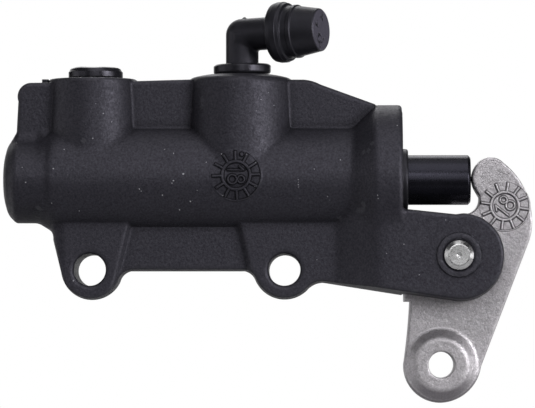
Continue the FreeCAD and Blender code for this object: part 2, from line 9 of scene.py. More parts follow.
import bmesh
import bpy
import numpy as np
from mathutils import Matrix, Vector


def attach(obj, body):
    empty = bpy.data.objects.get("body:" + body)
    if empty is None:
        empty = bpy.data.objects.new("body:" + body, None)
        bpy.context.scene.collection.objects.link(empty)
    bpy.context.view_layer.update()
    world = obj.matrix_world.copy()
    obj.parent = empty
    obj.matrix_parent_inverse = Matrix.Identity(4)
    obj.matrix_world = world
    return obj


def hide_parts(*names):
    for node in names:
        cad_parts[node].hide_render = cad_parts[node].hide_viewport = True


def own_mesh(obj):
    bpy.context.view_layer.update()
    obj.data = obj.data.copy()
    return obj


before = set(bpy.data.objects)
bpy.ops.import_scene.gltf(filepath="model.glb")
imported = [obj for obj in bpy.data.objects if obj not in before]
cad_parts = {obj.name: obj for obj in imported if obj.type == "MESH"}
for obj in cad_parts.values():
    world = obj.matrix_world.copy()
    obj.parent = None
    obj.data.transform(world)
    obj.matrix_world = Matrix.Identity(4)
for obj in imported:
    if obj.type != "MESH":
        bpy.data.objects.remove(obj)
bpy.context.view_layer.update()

AXIS_Y, AXIS_Z = -13.4, 18.63  # the bore axis
PIVOT_X, PIVOT_Z = 55.7, 2.85  # the lever's pin, along Y
PIN_RADIUS = 3.0
INLET_X, OUTLET_X = 11.23, -19.15
MM = 0.001


# ------------------------------------------------------------------ outlines of lines and arcs
# A path is a list of steps: (x, y) is a line to a point, (via x, via y, x, y) an arc through via.
def arc_through(start, via, end):
    """Centre x and y, radius, start angle, sweep and turn (1 is counterclockwise) of an arc."""
    (x0, y0), (x1, y1), (x2, y2) = start, via, end
    square0, square1, square2 = x0 * x0 + y0 * y0, x1 * x1 + y1 * y1, x2 * x2 + y2 * y2
    scale = 2 * (x0 * (y1 - y2) + x1 * (y2 - y0) + x2 * (y0 - y1))
    centre_x = (square0 * (y1 - y2) + square1 * (y2 - y0) + square2 * (y0 - y1)) / scale
    centre_y = (square0 * (x2 - x1) + square1 * (x0 - x2) + square2 * (x1 - x0)) / scale
    angle0, angle1, angle2 = (
        math.atan2(y - centre_y, x - centre_x) for x, y in (start, via, end))
    full = 2 * math.pi
    turn = 1.0 if (angle1 - angle0) % full < (angle2 - angle0) % full else -1.0
    sweep = (turn * (angle2 - angle0)) % full
    return centre_x, centre_y, math.hypot(x0 - centre_x, y0 - centre_y), angle0, sweep, turn


def arc_points(arc, count):
    """Points along an arc, without its start."""
    centre_x, centre_y, radius, start, sweep, turn = arc
    angles = [start + turn * sweep * k / count for k in range(1, count + 1)]
    return [(centre_x + radius * math.cos(a), centre_y + radius * math.sin(a)) for a in angles]


def outline(path):
    """Pieces (start, end, arc or None) of a closed path, and 1 if it runs counterclockwise."""
    here = path[0]
    pieces, points = [], [here]
    for step in path[1:] + path[:1]:
        end = step[-2:]
        if math.dist(here, end) < 1e-6:
            continue
        arc = arc_through(here, step[:2], end) if len(step) == 4 else None
        pieces.append((here, end, arc))
        points += arc_points(arc, 12) if arc else [end]
        here = end
    x, y = np.array(points).T
    area = np.sum(x * np.roll(y, -1) - np.roll(x, -1) * y)
    return pieces, (1.0 if area > 0 else -1.0)


def outline_distance(shape, x, y):
    """Signed distance to an outline, negative inside."""
    pieces, winding = shape
    x, y = np.broadcast_arrays(np.asarray(x, float), np.asarray(y, float))
    best = np.full(x.shape, 1e9)
    side = np.zeros(x.shape)
    for (x0, y0), (x1, y1), arc in pieces:
        if arc is None:
            length = math.hypot(x1 - x0, y1 - y0)
            run_x, run_y = (x1 - x0) / length, (y1 - y0) / length
            off_x, off_y = x - x0, y - y0
            along = np.clip(off_x * run_x + off_y * run_y, 0, length)
            gap = np.hypot(off_x - run_x * along, off_y - run_y * along)
            outward = off_x * run_y - off_y * run_x
        else:
            centre_x, centre_y, radius, start, sweep, turn = arc
            off_x, off_y = x - centre_x, y - centre_y
            reach = np.hypot(off_x, off_y)
            within = (turn * (np.arctan2(off_y, off_x) - start)) % (2 * math.pi) <= sweep
            gap0, gap1 = np.hypot(x - x0, y - y0), np.hypot(x - x1, y - y1)
            first = gap0 < gap1
            out0 = turn * ((x0 - centre_x) * (x - x0) + (y0 - centre_y) * (y - y0)) / radius
            out1 = turn * ((x1 - centre_x) * (x - x1) + (y1 - centre_y) * (y - y1)) / radius
            gap = np.where(within, np.abs(reach - radius), np.where(first, gap0, gap1))
            outward = np.where(within, turn * (reach - radius), np.where(first, out0, out1))
        # Where two pieces are equally near, the one seen more squarely decides the side.
        tie = (np.abs(gap - best) <= 1e-7) & (np.abs(outward) > np.abs(side))
        take = (gap < best - 1e-7) | tie
        best = np.where(take, gap, best)
        side = np.where(take, outward, side)
    return best * np.where(side * winding > 0, 1.0, -1.0)


def filleted(corners, closed=True):
    """A path from corners (x, y[, radius]): a corner with a radius becomes an arc."""
    count = len(corners)
    path = []
    for i, corner in enumerate(corners):
        if len(corner) < 3 or (not closed and i in (0, count - 1)):
            path.append(tuple(corner[:2]))
            continue
        point, radius = np.array(corner[:2], float), corner[2]
        back = np.array(corners[i - 1][:2], float) - point
        ahead = np.array(corners[(i + 1) % count][:2], float) - point
        back, ahead = back / np.linalg.norm(back), ahead / np.linalg.norm(ahead)
        half = math.acos(max(-1.0, min(1.0, float(back @ ahead)))) / 2
        reach = radius / math.tan(half)
        bisector = (back + ahead) / np.linalg.norm(back + ahead)
        centre = point + bisector * (radius / math.sin(half))
        path.append(tuple(point + back * reach))
        path.append((*(centre - bisector * radius), *(point + ahead * reach)))
    return path


def sampled(corners):
    """Points of an open profile of corners (along, radius[, fillet]), arcs every 4 degrees."""
    path = filleted(corners, closed=False)
    points = [path[0]]
    for step in path[1:]:
        if len(step) == 4:
            arc = arc_through(points[-1], step[:2], step[2:])
            points += arc_points(arc, max(2, int(math.degrees(arc[4]) / 4.0)))
            points[-1] = step[2:]
        elif math.dist(points[-1], step) > 1e-6:
            points.append(step)
    return points


# ------------------------------------------------------------------ solid fields
# A field is a signed distance in mm, negative inside the solid.
def join(first, second, radius):
    """Union with a fillet."""
    return np.maximum(radius, np.minimum(first, second)) - np.hypot(
        np.maximum(radius - first, 0), np.maximum(radius - second, 0))


def keep(first, second, radius):
    """Intersection with its edge rounded."""
    return np.minimum(-radius, np.maximum(first, second)) + np.hypot(
        np.maximum(radius + first, 0), np.maximum(radius + second, 0))


def drill(solid, reach, radius, stop, rim=None):
    """Cuts a hole of a radius where stop is negative; reach is the distance from its axis."""
    hole = np.maximum(reach - radius, stop)
    return np.maximum(solid, -hole) if rim is None else keep(solid, -hole, rim)


def ramp(rise, softness):
    """A ramp that starts at 0 with its corner smoothed."""
    return 0.5 * (rise + np.sqrt(rise * rise + softness * softness))


def smoothstep(share):
    return share * share * (3 - 2 * share)


# ------------------------------------------------------------------ casting
# Outlines in the XZ plane.
WEB = outline([
    (-35.52, 24.86), (-35.27, 30.23), (-35.03, 34.78), (-34.43, 37.77, -32.52, 38.75),
    (-28.39, 38.79), (-11.13, 39.08), (0.44, 39.41), (23.8, 39.37), (25.66, 39.08, 27.42, 38.37),
    (38.79, 34.24), (39.72, 24.86),
])
LOWER = outline([
    (-30.97, 16.59), (-30.97, 9.73), (-28.8, 8.73, -27.85, 6.15), (-26.16, -0.78),
    (-19.98, -6.17, -13.92, -2.39), (-13.09, -0.98, -11.65, -0.26), (11.81, -0.26),
    (13.22, -1.02, 13.98, -2.16), (19.98, -6.09, 24.94, -3.88), (26.28, -2.99, 27.94, -2.64),
    (44.31, -5.22), (54.19, -6.62), (62.76, -4.08, 65.43, 1.91), (63.18, 8.98, 56.67, 11.9),
    (55.22, 11.71), (45.61, 12.74), (39.72, 12.81), (39.72, 16.59),
])
PANEL = outline([(-10.6, 14.0), (-15.3, -4.9), (13.9, -4.9), (9.6, 14.0)])

BARREL_RADIUS = 11.4
OPEN_X = 44.3  # the barrel's open end
# x, distance from the bore axis, fillet
BARREL = outline(filleted([
    (OPEN_X, -9.0), (OPEN_X, 15.5, 0.9), (38.6, 15.5, 2.4), (34.14, BARREL_RADIUS, 2.4),
    (-26.9, BARREL_RADIUS, 3.0), (-30.9, 8.93, 3.0), (-35.5, 8.93, 1.3), (-37.1, 7.3, 3.8),
    (-37.98, 4.2, 12.0), (-38.15, 0.0), (-38.15, -9.0),
]))


def barrel_radius(x):
    """Radius of the barrel's outline at x, by bisection."""
    low, high = np.full(x.shape, 4.0), np.full(x.shape, 13.0)
    for _ in range(30):
        middle = (low + high) / 2
        inside = outline_distance(BARREL, x, middle) < 0
        low, high = np.where(inside, middle, low), np.where(inside, high, middle)
    return (low + high) / 2


# The end boss is narrower than the barrel above and below, but nearly as deep:
# only a faint step shows in front.
END_X = np.linspace(-32.5, -25.5, 71)
END_STEP = 0.36
END_DEPTH = BARREL_RADIUS - END_STEP * smoothstep(np.clip((-27.9 - END_X) / 1.3, 0, 1))
END_SCALE = barrel_radius(END_X) / END_DEPTH

WEB_HALF, WEB_DRAFT = 4.4, 0.035
BOSS_DRAFT, BOSS_MIDDLE_Z = 0.045, 35.0
OUTLET_BOSS_X, OUTLET_BOSS_RADIUS, OUTLET_BOSS_TOP = -19.7, 9.3, 39.5
INLET_BOSS_X, INLET_BOSS_RADIUS, INLET_BOSS_TOP = 10.88, 10.9, 40.6
LOWER_FRONT, LOWER_DRAFT = -7.0, math.tan(math.radians(3.0))
PANEL_RECESS, PANEL_BACK = 1.2, 5.8
SLOPE_START, SLOPE_END, SLOPE_RATE = 31.0, 38.7, 0.831  # the front's slope out to the ears
BORE_RADIUS, BORE_END_X = 6.5, -35.3
MOUTH_RADIUS, MOUTH_X = 7.5, 38.0
GROOVE_RADIUS, GROOVE_X, GROOVE_HALF = 8.1, 39.65, 0.55
PORT_FLOOR_Z = 22.0  # small port holes stop here, inside the bore
LUG_XS, LUG_HOLE_RADIUS = (-20.0, 20.0), 3.3
EAR_RING_RADIUS, EAR_RING_FRONT = 4.55, -13.7


def boss_side(reach, radius, z):
    """A drafted boss, wider towards its foot."""
    return reach - radius - (BOSS_MIDDLE_Z - z) * BOSS_DRAFT


def inlet_boss(x, across, z):
    reach = np.hypot(x - INLET_BOSS_X, across)
    over = z - INLET_BOSS_TOP
    boss = keep(boss_side(reach, INLET_BOSS_RADIUS, z), over, 0.5)
    boss = keep(boss, over * 0.952 + (reach - 7.3) * 0.304, 0.9)  # conical top
    return keep(boss, 20.5 - z, 0.5)


def outlet_boss(x, across, z):
    side = boss_side(np.hypot(x - OUTLET_BOSS_X, across), OUTLET_BOSS_RADIUS, z)
    return keep(keep(side, z - OUTLET_BOSS_TOP, 0.55), 19.5 - z, 0.5)


def lower_plate(x, across, z):
    """Drafted plate with a thin panel between the lugs and a slope out to the ears."""
    panel = outline_distance(PANEL, x, z)
    front = LOWER_FRONT + PANEL_RECESS * (ramp(-panel + 0.5, 0.15) - ramp(-panel - 0.5, 0.15))
    slope = ramp(x - SLOPE_START, 0.7) - ramp(x - SLOPE_END, 1.5)
    front = front - SLOPE_RATE * slope
    # The front's distance is scaled back where it slopes.
    panel_edge = np.where(np.abs(panel) < 0.6, 0.65, 1.0)
    scale = np.where((slope > 0.4) & (x < 38.3), 0.77, panel_edge)
    sides = outline_distance(LOWER, x, z) + np.abs(across) * LOWER_DRAFT
    plate = keep(sides, (front - across) * scale, 0.55)
    # bevel down the front left edge
    plate = keep(plate, -0.78 * (x + 27.1) - 0.626 * (across - LOWER_FRONT), 1.8)
    pocket = keep(panel + (-AXIS_Y - across) * 0.03, PANEL_BACK - across, 0.8)
    return keep(plate, -pocket, 0.5)


def machined(solid, x, y, z):
    """The casting with its back, lever gap, bore, ports and lug holes cut."""
    across = y - AXIS_Y
    axial = np.hypot(across, z - AXIS_Z)
    outlet, inlet = np.hypot(x - OUTLET_X, across), np.hypot(x - INLET_X, across)
    solid = keep(solid, y, 0.25)
    solid = keep(solid, -keep(OPEN_X - x, np.abs(across) - 5.6, 0.5), 0.3)
    solid = drill(solid, axial, BORE_RADIUS, BORE_END_X - x)
    solid = drill(solid, axial, MOUTH_RADIUS, MOUTH_X - x, rim=0.25)
    solid = drill(solid, axial, GROOVE_RADIUS, np.abs(x - GROOVE_X) - GROOVE_HALF)
    solid = drill(solid, outlet, 4.55, 27.5 - z, rim=0.3)
    solid = drill(solid, outlet, 1.5, PORT_FLOOR_Z - z)
    solid = drill(solid, inlet, 4.75, 31.0 - z, rim=0.3)
    solid = drill(solid, np.hypot(x - INLET_X - 3.5, across), 1.0, PORT_FLOOR_Z - z)
    for lug_x in LUG_XS:
        solid = keep(solid, LUG_HOLE_RADIUS - np.hypot(x - lug_x, z), 0.85)
    return solid


def casting_field(x, y, z):
    across = y - AXIS_Y
    depth = np.abs(across)
    barrel_reach = np.hypot(across * np.interp(x, END_X, END_SCALE), z - AXIS_Z)
    barrel = outline_distance(BARREL, x, barrel_reach)
    web = keep(outline_distance(WEB, x, z) + depth * WEB_DRAFT, depth - WEB_HALF, 0.7)
    near_end = smoothstep(np.clip((-27.0 - x) / 3.0, 0, 1))
    solid = join(barrel, web, 0.32 + 1.3 * near_end)
    solid = join(solid, outlet_boss(x, across, z), 0.4)
    solid = join(solid, inlet_boss(x, across, z), 0.4)
    near_ears = np.clip((x - 32.0) / 5.0, 0, 1)
    solid = join(solid, lower_plate(x, across, z), 0.22 + 0.78 * near_ears)
    # gate stub left on the web's top edge
    stub = np.hypot(np.maximum(np.abs(x + 29.5) - 0.45, 0), np.maximum(np.abs(z - 39.0) - 0.25, 0))
    solid = join(solid, np.hypot(stub, np.maximum(depth - 1.6, 0)) - 0.22, 0.15)
    solid = machined(solid, x, y, z)
    # pin hole: raised ring and countersink in front, counterbore behind
    pin = np.hypot(x - PIVOT_X, z - PIVOT_Z)
    ear_ring = keep(pin - EAR_RING_RADIUS, EAR_RING_FRONT - across, 0.28)
    solid = join(solid, np.maximum(ear_ring, across + 12.5), 0.12)
    solid = np.maximum(solid, PIN_RADIUS - pin)
    solid = np.maximum(solid, (-13.15 - across - (pin - PIN_RADIUS)) * 0.7071)
    return drill(solid, pin, 4.9, 11.6 - across)


# ------------------------------------------------------------------ lever
LEVER = outline([  # in the XZ plane
    (44.46, -6.56), (44.46, -2.64), (45.92, -1.19), (47.99, 0.47), (50.26, 5.01, 54.6, 10.59),
    (57.49, 11.63), (59.68, 13.18, 59.95, 15.04), (59.4, 15.97, 58.9, 16.9),
    (58.88, 20.62, 60.24, 22.48), (62.56, 23.33, 65.24, 22.13), (69.52, 16.9, 71.12, 10.7),
    (71.01, 8.01, 70.25, 5.32), (60.57, -19.89), (57.93, -24.98, 52.24, -27.4),
    (46.58, -25.02, 44.45, -19.48), (45.36, -11.73, 45.71, -6.56),
])
LEVER_HALF, LEVER_DRAFT, BUSH_HOLE_RADIUS = 5.0, 0.045, 4.0
EYE_X, EYE_Z, EYE_RADIUS = 52.26, -19.54, 2.7
PAD_RADIUS, PAD_HALF = 7.4, 6.8


def lever_field(x, y, z):
    depth = np.abs(y - AXIS_Y)
    side = depth - LEVER_HALF
    solid = keep(outline_distance(LEVER, x, z) + depth * LEVER_DRAFT, side, 0.35)
    solid = np.maximum(solid, BUSH_HOLE_RADIUS - np.hypot(x - PIVOT_X, z - PIVOT_Z))
    eye = np.hypot(x - EYE_X, z - EYE_Z)
    rim = eye - PAD_RADIUS
    pad = keep(np.maximum(rim * 0.669 + side * 0.743, rim), depth - PAD_HALF, 0.4)
    return keep(join(solid, pad, 0.35), EYE_RADIUS - eye, 0.3)


# ------------------------------------------------------------------ hose elbow
ARM_YAW, ARM_RISE = math.radians(-24.0), math.radians(2.0)
ARM = np.array([
    math.cos(ARM_RISE) * math.cos(ARM_YAW), math.cos(ARM_RISE) * math.sin(ARM_YAW),
    math.sin(ARM_RISE),
])
KNEE = np.array([INLET_X, AXIS_Y, 48.67])
ARM_LENGTH, TUBE_RADIUS, TUBE_BORE = 15.0, 3.37, 1.7
STEM_RADIUS, STEM_FOOT, UPRIGHT_FOOT = 2.85, 31.4, 42.6
BARB_FOOT, BARB_TOP = 31.6, 32.7


def elbow_field(x, y, z):
    off_x, off_y, off_z = x - KNEE[0], y - KNEE[1], z - KNEE[2]
    reach = np.hypot(off_x, off_y)
    along = off_x * ARM[0] + off_y * ARM[1] + off_z * ARM[2]
    square = off_x * off_x + off_y * off_y + off_z * off_z
    arm_reach = np.sqrt(np.maximum(square - along * along, 1e-9))
    upright = np.maximum(np.maximum(reach - TUBE_RADIUS, off_z), UPRIGHT_FOOT - z)
    arm = keep(np.maximum(arm_reach - TUBE_RADIUS, -along), along - ARM_LENGTH, 0.3)
    solid = np.minimum(join(upright, arm, 0.55), np.sqrt(square) - TUBE_RADIUS)
    stem = np.maximum(np.maximum(reach - STEM_RADIUS, z - 43.5), STEM_FOOT - z)
    barb_side = (reach - STEM_RADIUS - (z - BARB_FOOT) * 0.41) * 0.92
    barb = np.maximum(barb_side, np.maximum(BARB_FOOT - z, z - BARB_TOP))
    solid = np.minimum(solid, np.minimum(stem, barb))
    # gate mark on top
    mark = np.sqrt((x - 11.7) ** 2 + (y - AXIS_Y) ** 2 + ((z - 51.95) * 0.9) ** 2) - 0.42
    solid = join(solid, mark, 0.3)
    solid = drill(solid, reach, TUBE_BORE, off_z)
    return drill(solid, arm_reach, TUBE_BORE, -along)


# ------------------------------------------------------------------ surfaces from fields
BLOCK = 6  # cells along the side of a block of the coarse search


def gradient(field, x, y, z, step):
    along_x = field(x + step, y, z) - field(x - step, y, z)
    along_y = field(x, y + step, z) - field(x, y - step, z)
    along_z = field(x, y, z + step) - field(x, y, z - step)
    return np.stack([along_x, along_y, along_z], 1) / (2 * step)


def grid_values(field, low, count, cell):
    """The field on a grid: exact near the surface, and a block's middle value elsewhere."""
    ticks = [low[i] + cell * np.arange(count[i]) for i in range(3)]
    blocks = [(size - 1) // BLOCK for size in count]
    middles = [low[i] + cell * BLOCK * (np.arange(blocks[i]) + 0.5) for i in range(3)]
    grid = np.meshgrid(*middles, indexing="ij")
    coarse = field(*[axis.ravel() for axis in grid]).reshape(blocks)
    value = np.ones(count, np.float32)
    value[:-1, :-1, :-1] = np.kron(coarse, np.ones((BLOCK, BLOCK, BLOCK)))
    near = np.argwhere(np.abs(coarse) < BLOCK * cell * math.sqrt(3) / 2 * 1.3)
    offsets = np.stack(np.meshgrid(*[np.arange(BLOCK + 1)] * 3, indexing="ij"), -1)
    nodes = (near[:, None, :] * BLOCK + offsets.reshape(-1, 3)[None, :, :]).reshape(-1, 3)
    keys = np.unique((nodes[:, 0] * count[1] + nodes[:, 1]) * count[2] + nodes[:, 2])
    i, j, k = np.unravel_index(keys, count)
    value.reshape(-1)[keys] = field(ticks[0][i], ticks[1][j], ticks[2][k])
    return value


def edge_crossings(field, value, low, cell, axis):
    """Where the surface crosses grid edges along an axis: points, normals, cell rings, flips."""
    count = value.shape
    before, after = [slice(None)] * 3, [slice(None)] * 3
    before[axis], after[axis] = slice(0, -1), slice(1, None)
    inside = value < 0
    start = np.argwhere(inside[tuple(before)] != inside[tuple(after)])
    end = start.copy()
    end[:, axis] += 1
    value0, value1 = (value[tuple(node.T)].astype(float) for node in (start, end))
    points = np.array(low)[None, :] + cell * start
    points[:, axis] += cell * value0 / (value0 - value1)
    normals = gradient(field, *points.T, 0.03 * cell)
    # One Newton step onto the surface, at most half a cell long.
    square = np.maximum((normals * normals).sum(1), 0.05)
    step = normals * (field(*points.T) / square)[:, None]
    length = np.maximum(np.linalg.norm(step, axis=1), 1e-9)
    points = points - step * np.minimum(1.0, 0.5 * cell / length)[:, None]
    normals = normals / np.maximum(np.linalg.norm(normals, axis=1), 1e-9)[:, None]
    ring = []
    for shift0, shift1 in ((-1, -1), (0, -1), (0, 0), (-1, 0)):
        around = start.copy()
        around[:, (axis + 1) % 3] += shift0
        around[:, (axis + 2) % 3] += shift1
        ring.append((around[:, 0] * count[1] + around[:, 1]) * count[2] + around[:, 2])
    return points, normals, np.stack(ring, 1), value1 < 0


def contour(field, low, high, cell):
    """Dual contouring: vertices and quads of a field's surface.

    Each grid cell the surface crosses gets one vertex, placed so that sharp edges stay sharp.
    """
    count = [int(math.ceil((high[i] - low[i]) / (cell * BLOCK))) * BLOCK + 1 for i in range(3)]
    value = grid_values(field, low, count, cell)
    crossings = [edge_crossings(field, value, low, cell, axis) for axis in range(3)]
    points, normals, rings, flips = (np.concatenate(parts) for parts in zip(*crossings))
    cells, corners = np.unique(rings, return_inverse=True)
    corners = corners.reshape(rings.shape)

    def total(weights):
        """Sum over the crossings round each cell."""
        return np.bincount(corners.ravel(), np.repeat(weights, 4), minlength=len(cells))

    shared = np.bincount(corners.ravel(), minlength=len(cells)).astype(float)
    mean = np.stack([total(points[:, c]) for c in range(3)], 1) / shared[:, None]
    # Least squares: the vertex that lies nearest to all tangent planes, drawn to the mean.
    offset = (normals * points).sum(1)
    matrix = np.zeros((len(cells), 3, 3))
    target = np.zeros((len(cells), 3))
    for r in range(3):
        target[:, r] = total(normals[:, r] * offset)
        for c in range(r, 3):
            matrix[:, r, c] = matrix[:, c, r] = total(normals[:, r] * normals[:, c])
    target -= np.einsum("nij,nj->ni", matrix, mean)
    for r in range(3):
        matrix[:, r, r] += 0.06 * shared
    move = np.linalg.solve(matrix, target[:, :, None])[:, :, 0]
    corner = np.array(low)[None, :] + cell * np.stack(np.unravel_index(cells, count), 1)
    verts = np.clip(mean + move, corner - 0.1 * cell, corner + 1.1 * cell)
    return verts, np.where(flips[:, None], corners[:, ::-1], corners)


# ------------------------------------------------------------------ meshes
def shade_smooth(mesh, sharp):
    """Smooth shading, with edges over the angle sharp (degrees) kept hard."""
    mesh.polygons.foreach_set("use_smooth", np.ones(len(mesh.polygons), bool))
    if sharp:
        mesh.set_sharp_from_angle(angle=math.radians(sharp))


def make_object(name, verts, faces, material, sharp=38.0):
    """verts in mm; faces: an (n, 4) array, or a list of index lists."""
    mesh = bpy.data.meshes.new(name)
    metres = np.asarray(verts, float) * MM
    if isinstance(faces, np.ndarray):
        mesh.vertices.add(len(metres))
        mesh.vertices.foreach_set("co", metres.astype(np.float32).ravel())
        mesh.loops.add(faces.size)
        mesh.loops.foreach_set("vertex_index", faces.astype(np.int32).ravel())
        mesh.polygons.add(len(faces))
        starts = np.arange(0, faces.size, faces.shape[1], dtype=np.int32)
        mesh.polygons.foreach_set("loop_start", starts)
        mesh.update(calc_edges=True)
    else:
        mesh.from_pydata(metres.tolist(), [], faces)
        mesh.update()
    mesh.validate()
    shade_smooth(mesh, sharp)
    obj = bpy.data.objects.new(name, mesh)
    bpy.context.scene.collection.objects.link(obj)
    mesh.materials.append(material)
    return obj


def hand_over(obj, part, replaced=None):
    if replaced:
        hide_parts(replaced)
    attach(obj, part)


# Per-vertex values: painted shade round the dial relief, and grime on the cap's end face.
def set_grime_and_shade(obj, values):
    attribute = obj.data.attributes.new("grime_and_shade", "FLOAT", "POINT")
    attribute.data.foreach_set("value", values.astype(np.float32))


def bridge(first, second, segments):
    """Faces between two rows of vertex indices; a row of one index is a tip on the axis."""
    if len(first) == len(second) == 1:
        return []
    faces = []
    for k in range(segments):
        m = (k + 1) % segments
        if len(first) == 1:
            faces.append([first[0], second[m], second[k]])
        elif len(second) == 1:
            faces.append([first[k], first[m], second[0]])
        else:
            faces.append([first[k], first[m], second[m], second[k]])
    return faces


def turned(name, profile, origin, direction, material, segments,
           sharp=38.0, shape=None, grime_and_shade=None):
    """A lathed mesh from profile points (along, radius).

    A radius of 0 closes an end; a profile with an end off the axis is closed on itself.
    shape moves the local vertices (along, across, across); grime gives their dirt.
    """
    verts, rows = [], []
    for along, radius in profile:
        size = 1 if radius < 1e-6 else segments
        rows.append(list(range(len(verts), len(verts) + size)))
        if size == 1:
            verts.append((along, 0.0, 0.0))
            continue
        for k in range(segments):
            angle = 2 * math.pi * k / segments
            verts.append((along, radius * math.cos(angle), radius * math.sin(angle)))
    faces = []
    for first, second in zip(rows[:-1], rows[1:]):
        faces += bridge(first, second, segments)
    if profile[0][1] > 1e-6 or profile[-1][1] > 1e-6:
        faces += bridge(rows[-1], rows[0], segments)
    local = np.array(verts)
    if shape:
        local = shape(local)
    axis = np.array(direction, float)
    axis /= np.linalg.norm(axis)
    side = np.cross([0.0, 0.0, 1.0] if abs(axis[2]) < 0.9 else [0.0, 1.0, 0.0], axis)
    side /= np.linalg.norm(side)
    other = np.cross(axis, side)
    world = np.array(origin, float) + local[:, :1] * axis + local[:, 1:2] * side
    obj = make_object(name, world + local[:, 2:3] * other, faces, material, sharp=None)
    work = bmesh.new()
    work.from_mesh(obj.data)
    bmesh.ops.recalc_face_normals(work, faces=work.faces)
    work.to_mesh(obj.data)
    work.free()
    shade_smooth(obj.data, sharp)
    if grime_and_shade:
        set_grime_and_shade(obj, grime_and_shade(local))
    return obj


def value_noise(points, scale, seed):
    """Smooth repeatable noise in -1..1 at points (n, 3)."""
    scaled = points / scale
    cell = np.floor(scaled).astype(np.int64)
    part = smoothstep(scaled - cell)

    def corner_value(x, y, z):
        mixed = (x * 374761393 + y * 668265263 + z * 2147483647 + seed * 974634777) & 0xFFFFFFFF
        mixed = ((mixed ^ (mixed >> 13)) * 1274126177) & 0xFFFFFFFF
        return ((mixed ^ (mixed >> 16)) & 0xFFFF) / 32767.5 - 1.0

    noise = 0
    for corner in np.ndindex(2, 2, 2):
        weights = [part[:, i] if corner[i] else 1 - part[:, i] for i in range(3)]
        value = corner_value(*(cell[:, i] + corner[i] for i in range(3)))
        noise = noise + weights[0] * weights[1] * weights[2] * value
    return noise


# ------------------------------------------------------------------ shader nodes
class Nodes:
    """The emptied node tree of a material or world, with shorthands that add nodes."""

    def __init__(self, owner):
        owner.use_nodes = True
        self.tree = owner.node_tree
        self.tree.nodes.clear()

    def feed(self, node, inputs):
        """Sets or links a node's inputs."""
        for key, value in inputs.items():
            if isinstance(value, bpy.types.NodeSocket):
                self.tree.links.new(value, node.inputs[key])
            else:
                node.inputs[key].default_value = value

    def add(self, kind, inputs=None, **settings):
        node = self.tree.nodes.new("ShaderNode" + kind)
        for key, value in settings.items():
            setattr(node, key, value)
        self.feed(node, inputs or {})
        return node

    def span(self, value, within, to=(0.0, 1.0)):
        """Maps the range within onto the range to."""
        return self.add("MapRange", {
            "From Min": within[0], "From Max": within[1], "To Min": to[0], "To Max": to[1],
            "Value": value}).outputs["Result"]

    def calc(self, operation, *values):
        return self.add("Math", dict(enumerate(values)), operation=operation).outputs[0]

    def vector(self, operation, inputs, output="Vector"):
        return self.add("VectorMath", inputs, operation=operation).outputs[output]

    def split(self, vector):
        return self.add("SeparateXYZ", {0: vector}).outputs

    def mix(self, base, over, share):
        base, over = (c + (1.0,) if isinstance(c, tuple) else c for c in (base, over))
        return self.add("Mix", {"Factor": share, 6: base, 7: over}, data_type="RGBA").outputs[2]


class Finish(Nodes):
    """A new material with a Principled surface, textured in object coordinates."""

    def __init__(self, name):
        self.material = bpy.data.materials.new(name)
        super().__init__(self.material)
        output = self.add("OutputMaterial")
        self.surface = self.add("BsdfPrincipled")
        self.feed(output, {"Surface": self.surface.outputs["BSDF"]})
        self.place = self.add("TexCoord").outputs["Object"]

    def set(self, **inputs):
        """Sets surface inputs; an underscore stands for a space."""
        self.feed(self.surface, {key.replace("_", " "): v for key, v in inputs.items()})

    def noise(self, scale, detail, roughness):
        return self.add("TexNoise", {
            "Scale": scale, "Detail": detail, "Roughness": roughness,
            "Vector": self.place}).outputs["Fac"]

    def bump(self, height, distance, strength):
        node = self.add("Bump", {"Distance": distance, "Strength": strength, "Height": height})
        self.set(Normal=node.outputs["Normal"])

    def specks(self, place, scale, size, share):
        """1 on small sparse spots: a share of the cells of a Voronoi pattern have one."""
        cells = self.add("TexVoronoi", {"Scale": scale, "Vector": place})
        spot = self.span(cells.outputs["Distance"], within=(size, size * 0.55))
        parts = self.add("SeparateColor", {"Color": cells.outputs["Color"]})
        return self.calc("MULTIPLY", spot, self.calc("LESS_THAN", parts.outputs[0], share))

    def ragged(self, scale, amount):
        """The coordinate shaken by fine noise, so that spots come out irregular."""
        shake = self.add("TexNoise", {"Scale": scale, "Vector": self.place}).outputs["Color"]
        shake = self.vector("SUBTRACT", {0: shake, 1: (0.5, 0.5, 0.5)})
        shake = self.vector("SCALE", {0: shake, "Scale": amount})
        return self.vector("ADD", {0: self.place, 1: shake})

    def edges(self, within):
        """1 on convex edges."""
        pointiness = self.add("NewGeometry").outputs["Pointiness"]
        return self.span(pointiness, within=within)

    def facing_up(self):
        """The normal's Z."""
        return self.split(self.add("NewGeometry").outputs["Normal"])["Z"]

    def front_marks(self, place, marks):
        """1 on small marks (x, z, radius in mm) on the casting's front."""
        flat = self.vector("MULTIPLY", {0: place, 1: (1.0, 0.0, 1.0)})
        total = None
        for x, z, radius in marks:
            centre = (x / 1000, 0.0, z / 1000)
            gap = self.vector("DISTANCE", {0: flat, 1: centre}, output="Value")
            mark = self.span(gap, within=(radius / 1000, radius / 2500))
            total = mark if total is None else self.calc("MAXIMUM", total, mark)
        depth = self.split(place)["Y"]
        return self.calc("MULTIPLY", total, self.calc("LESS_THAN", depth, -0.0150))

    def grime_and_shade(self):
        """Painted shade at the foot of the dial relief, and grime on the cap's end face; meshes
        without the attribute have none.
        """
        return self.add("Attribute", attribute_name="grime_and_shade").outputs["Fac"]


# ------------------------------------------------------------------ materials
COOL_TINT = (0.86, 0.83, 1.0)
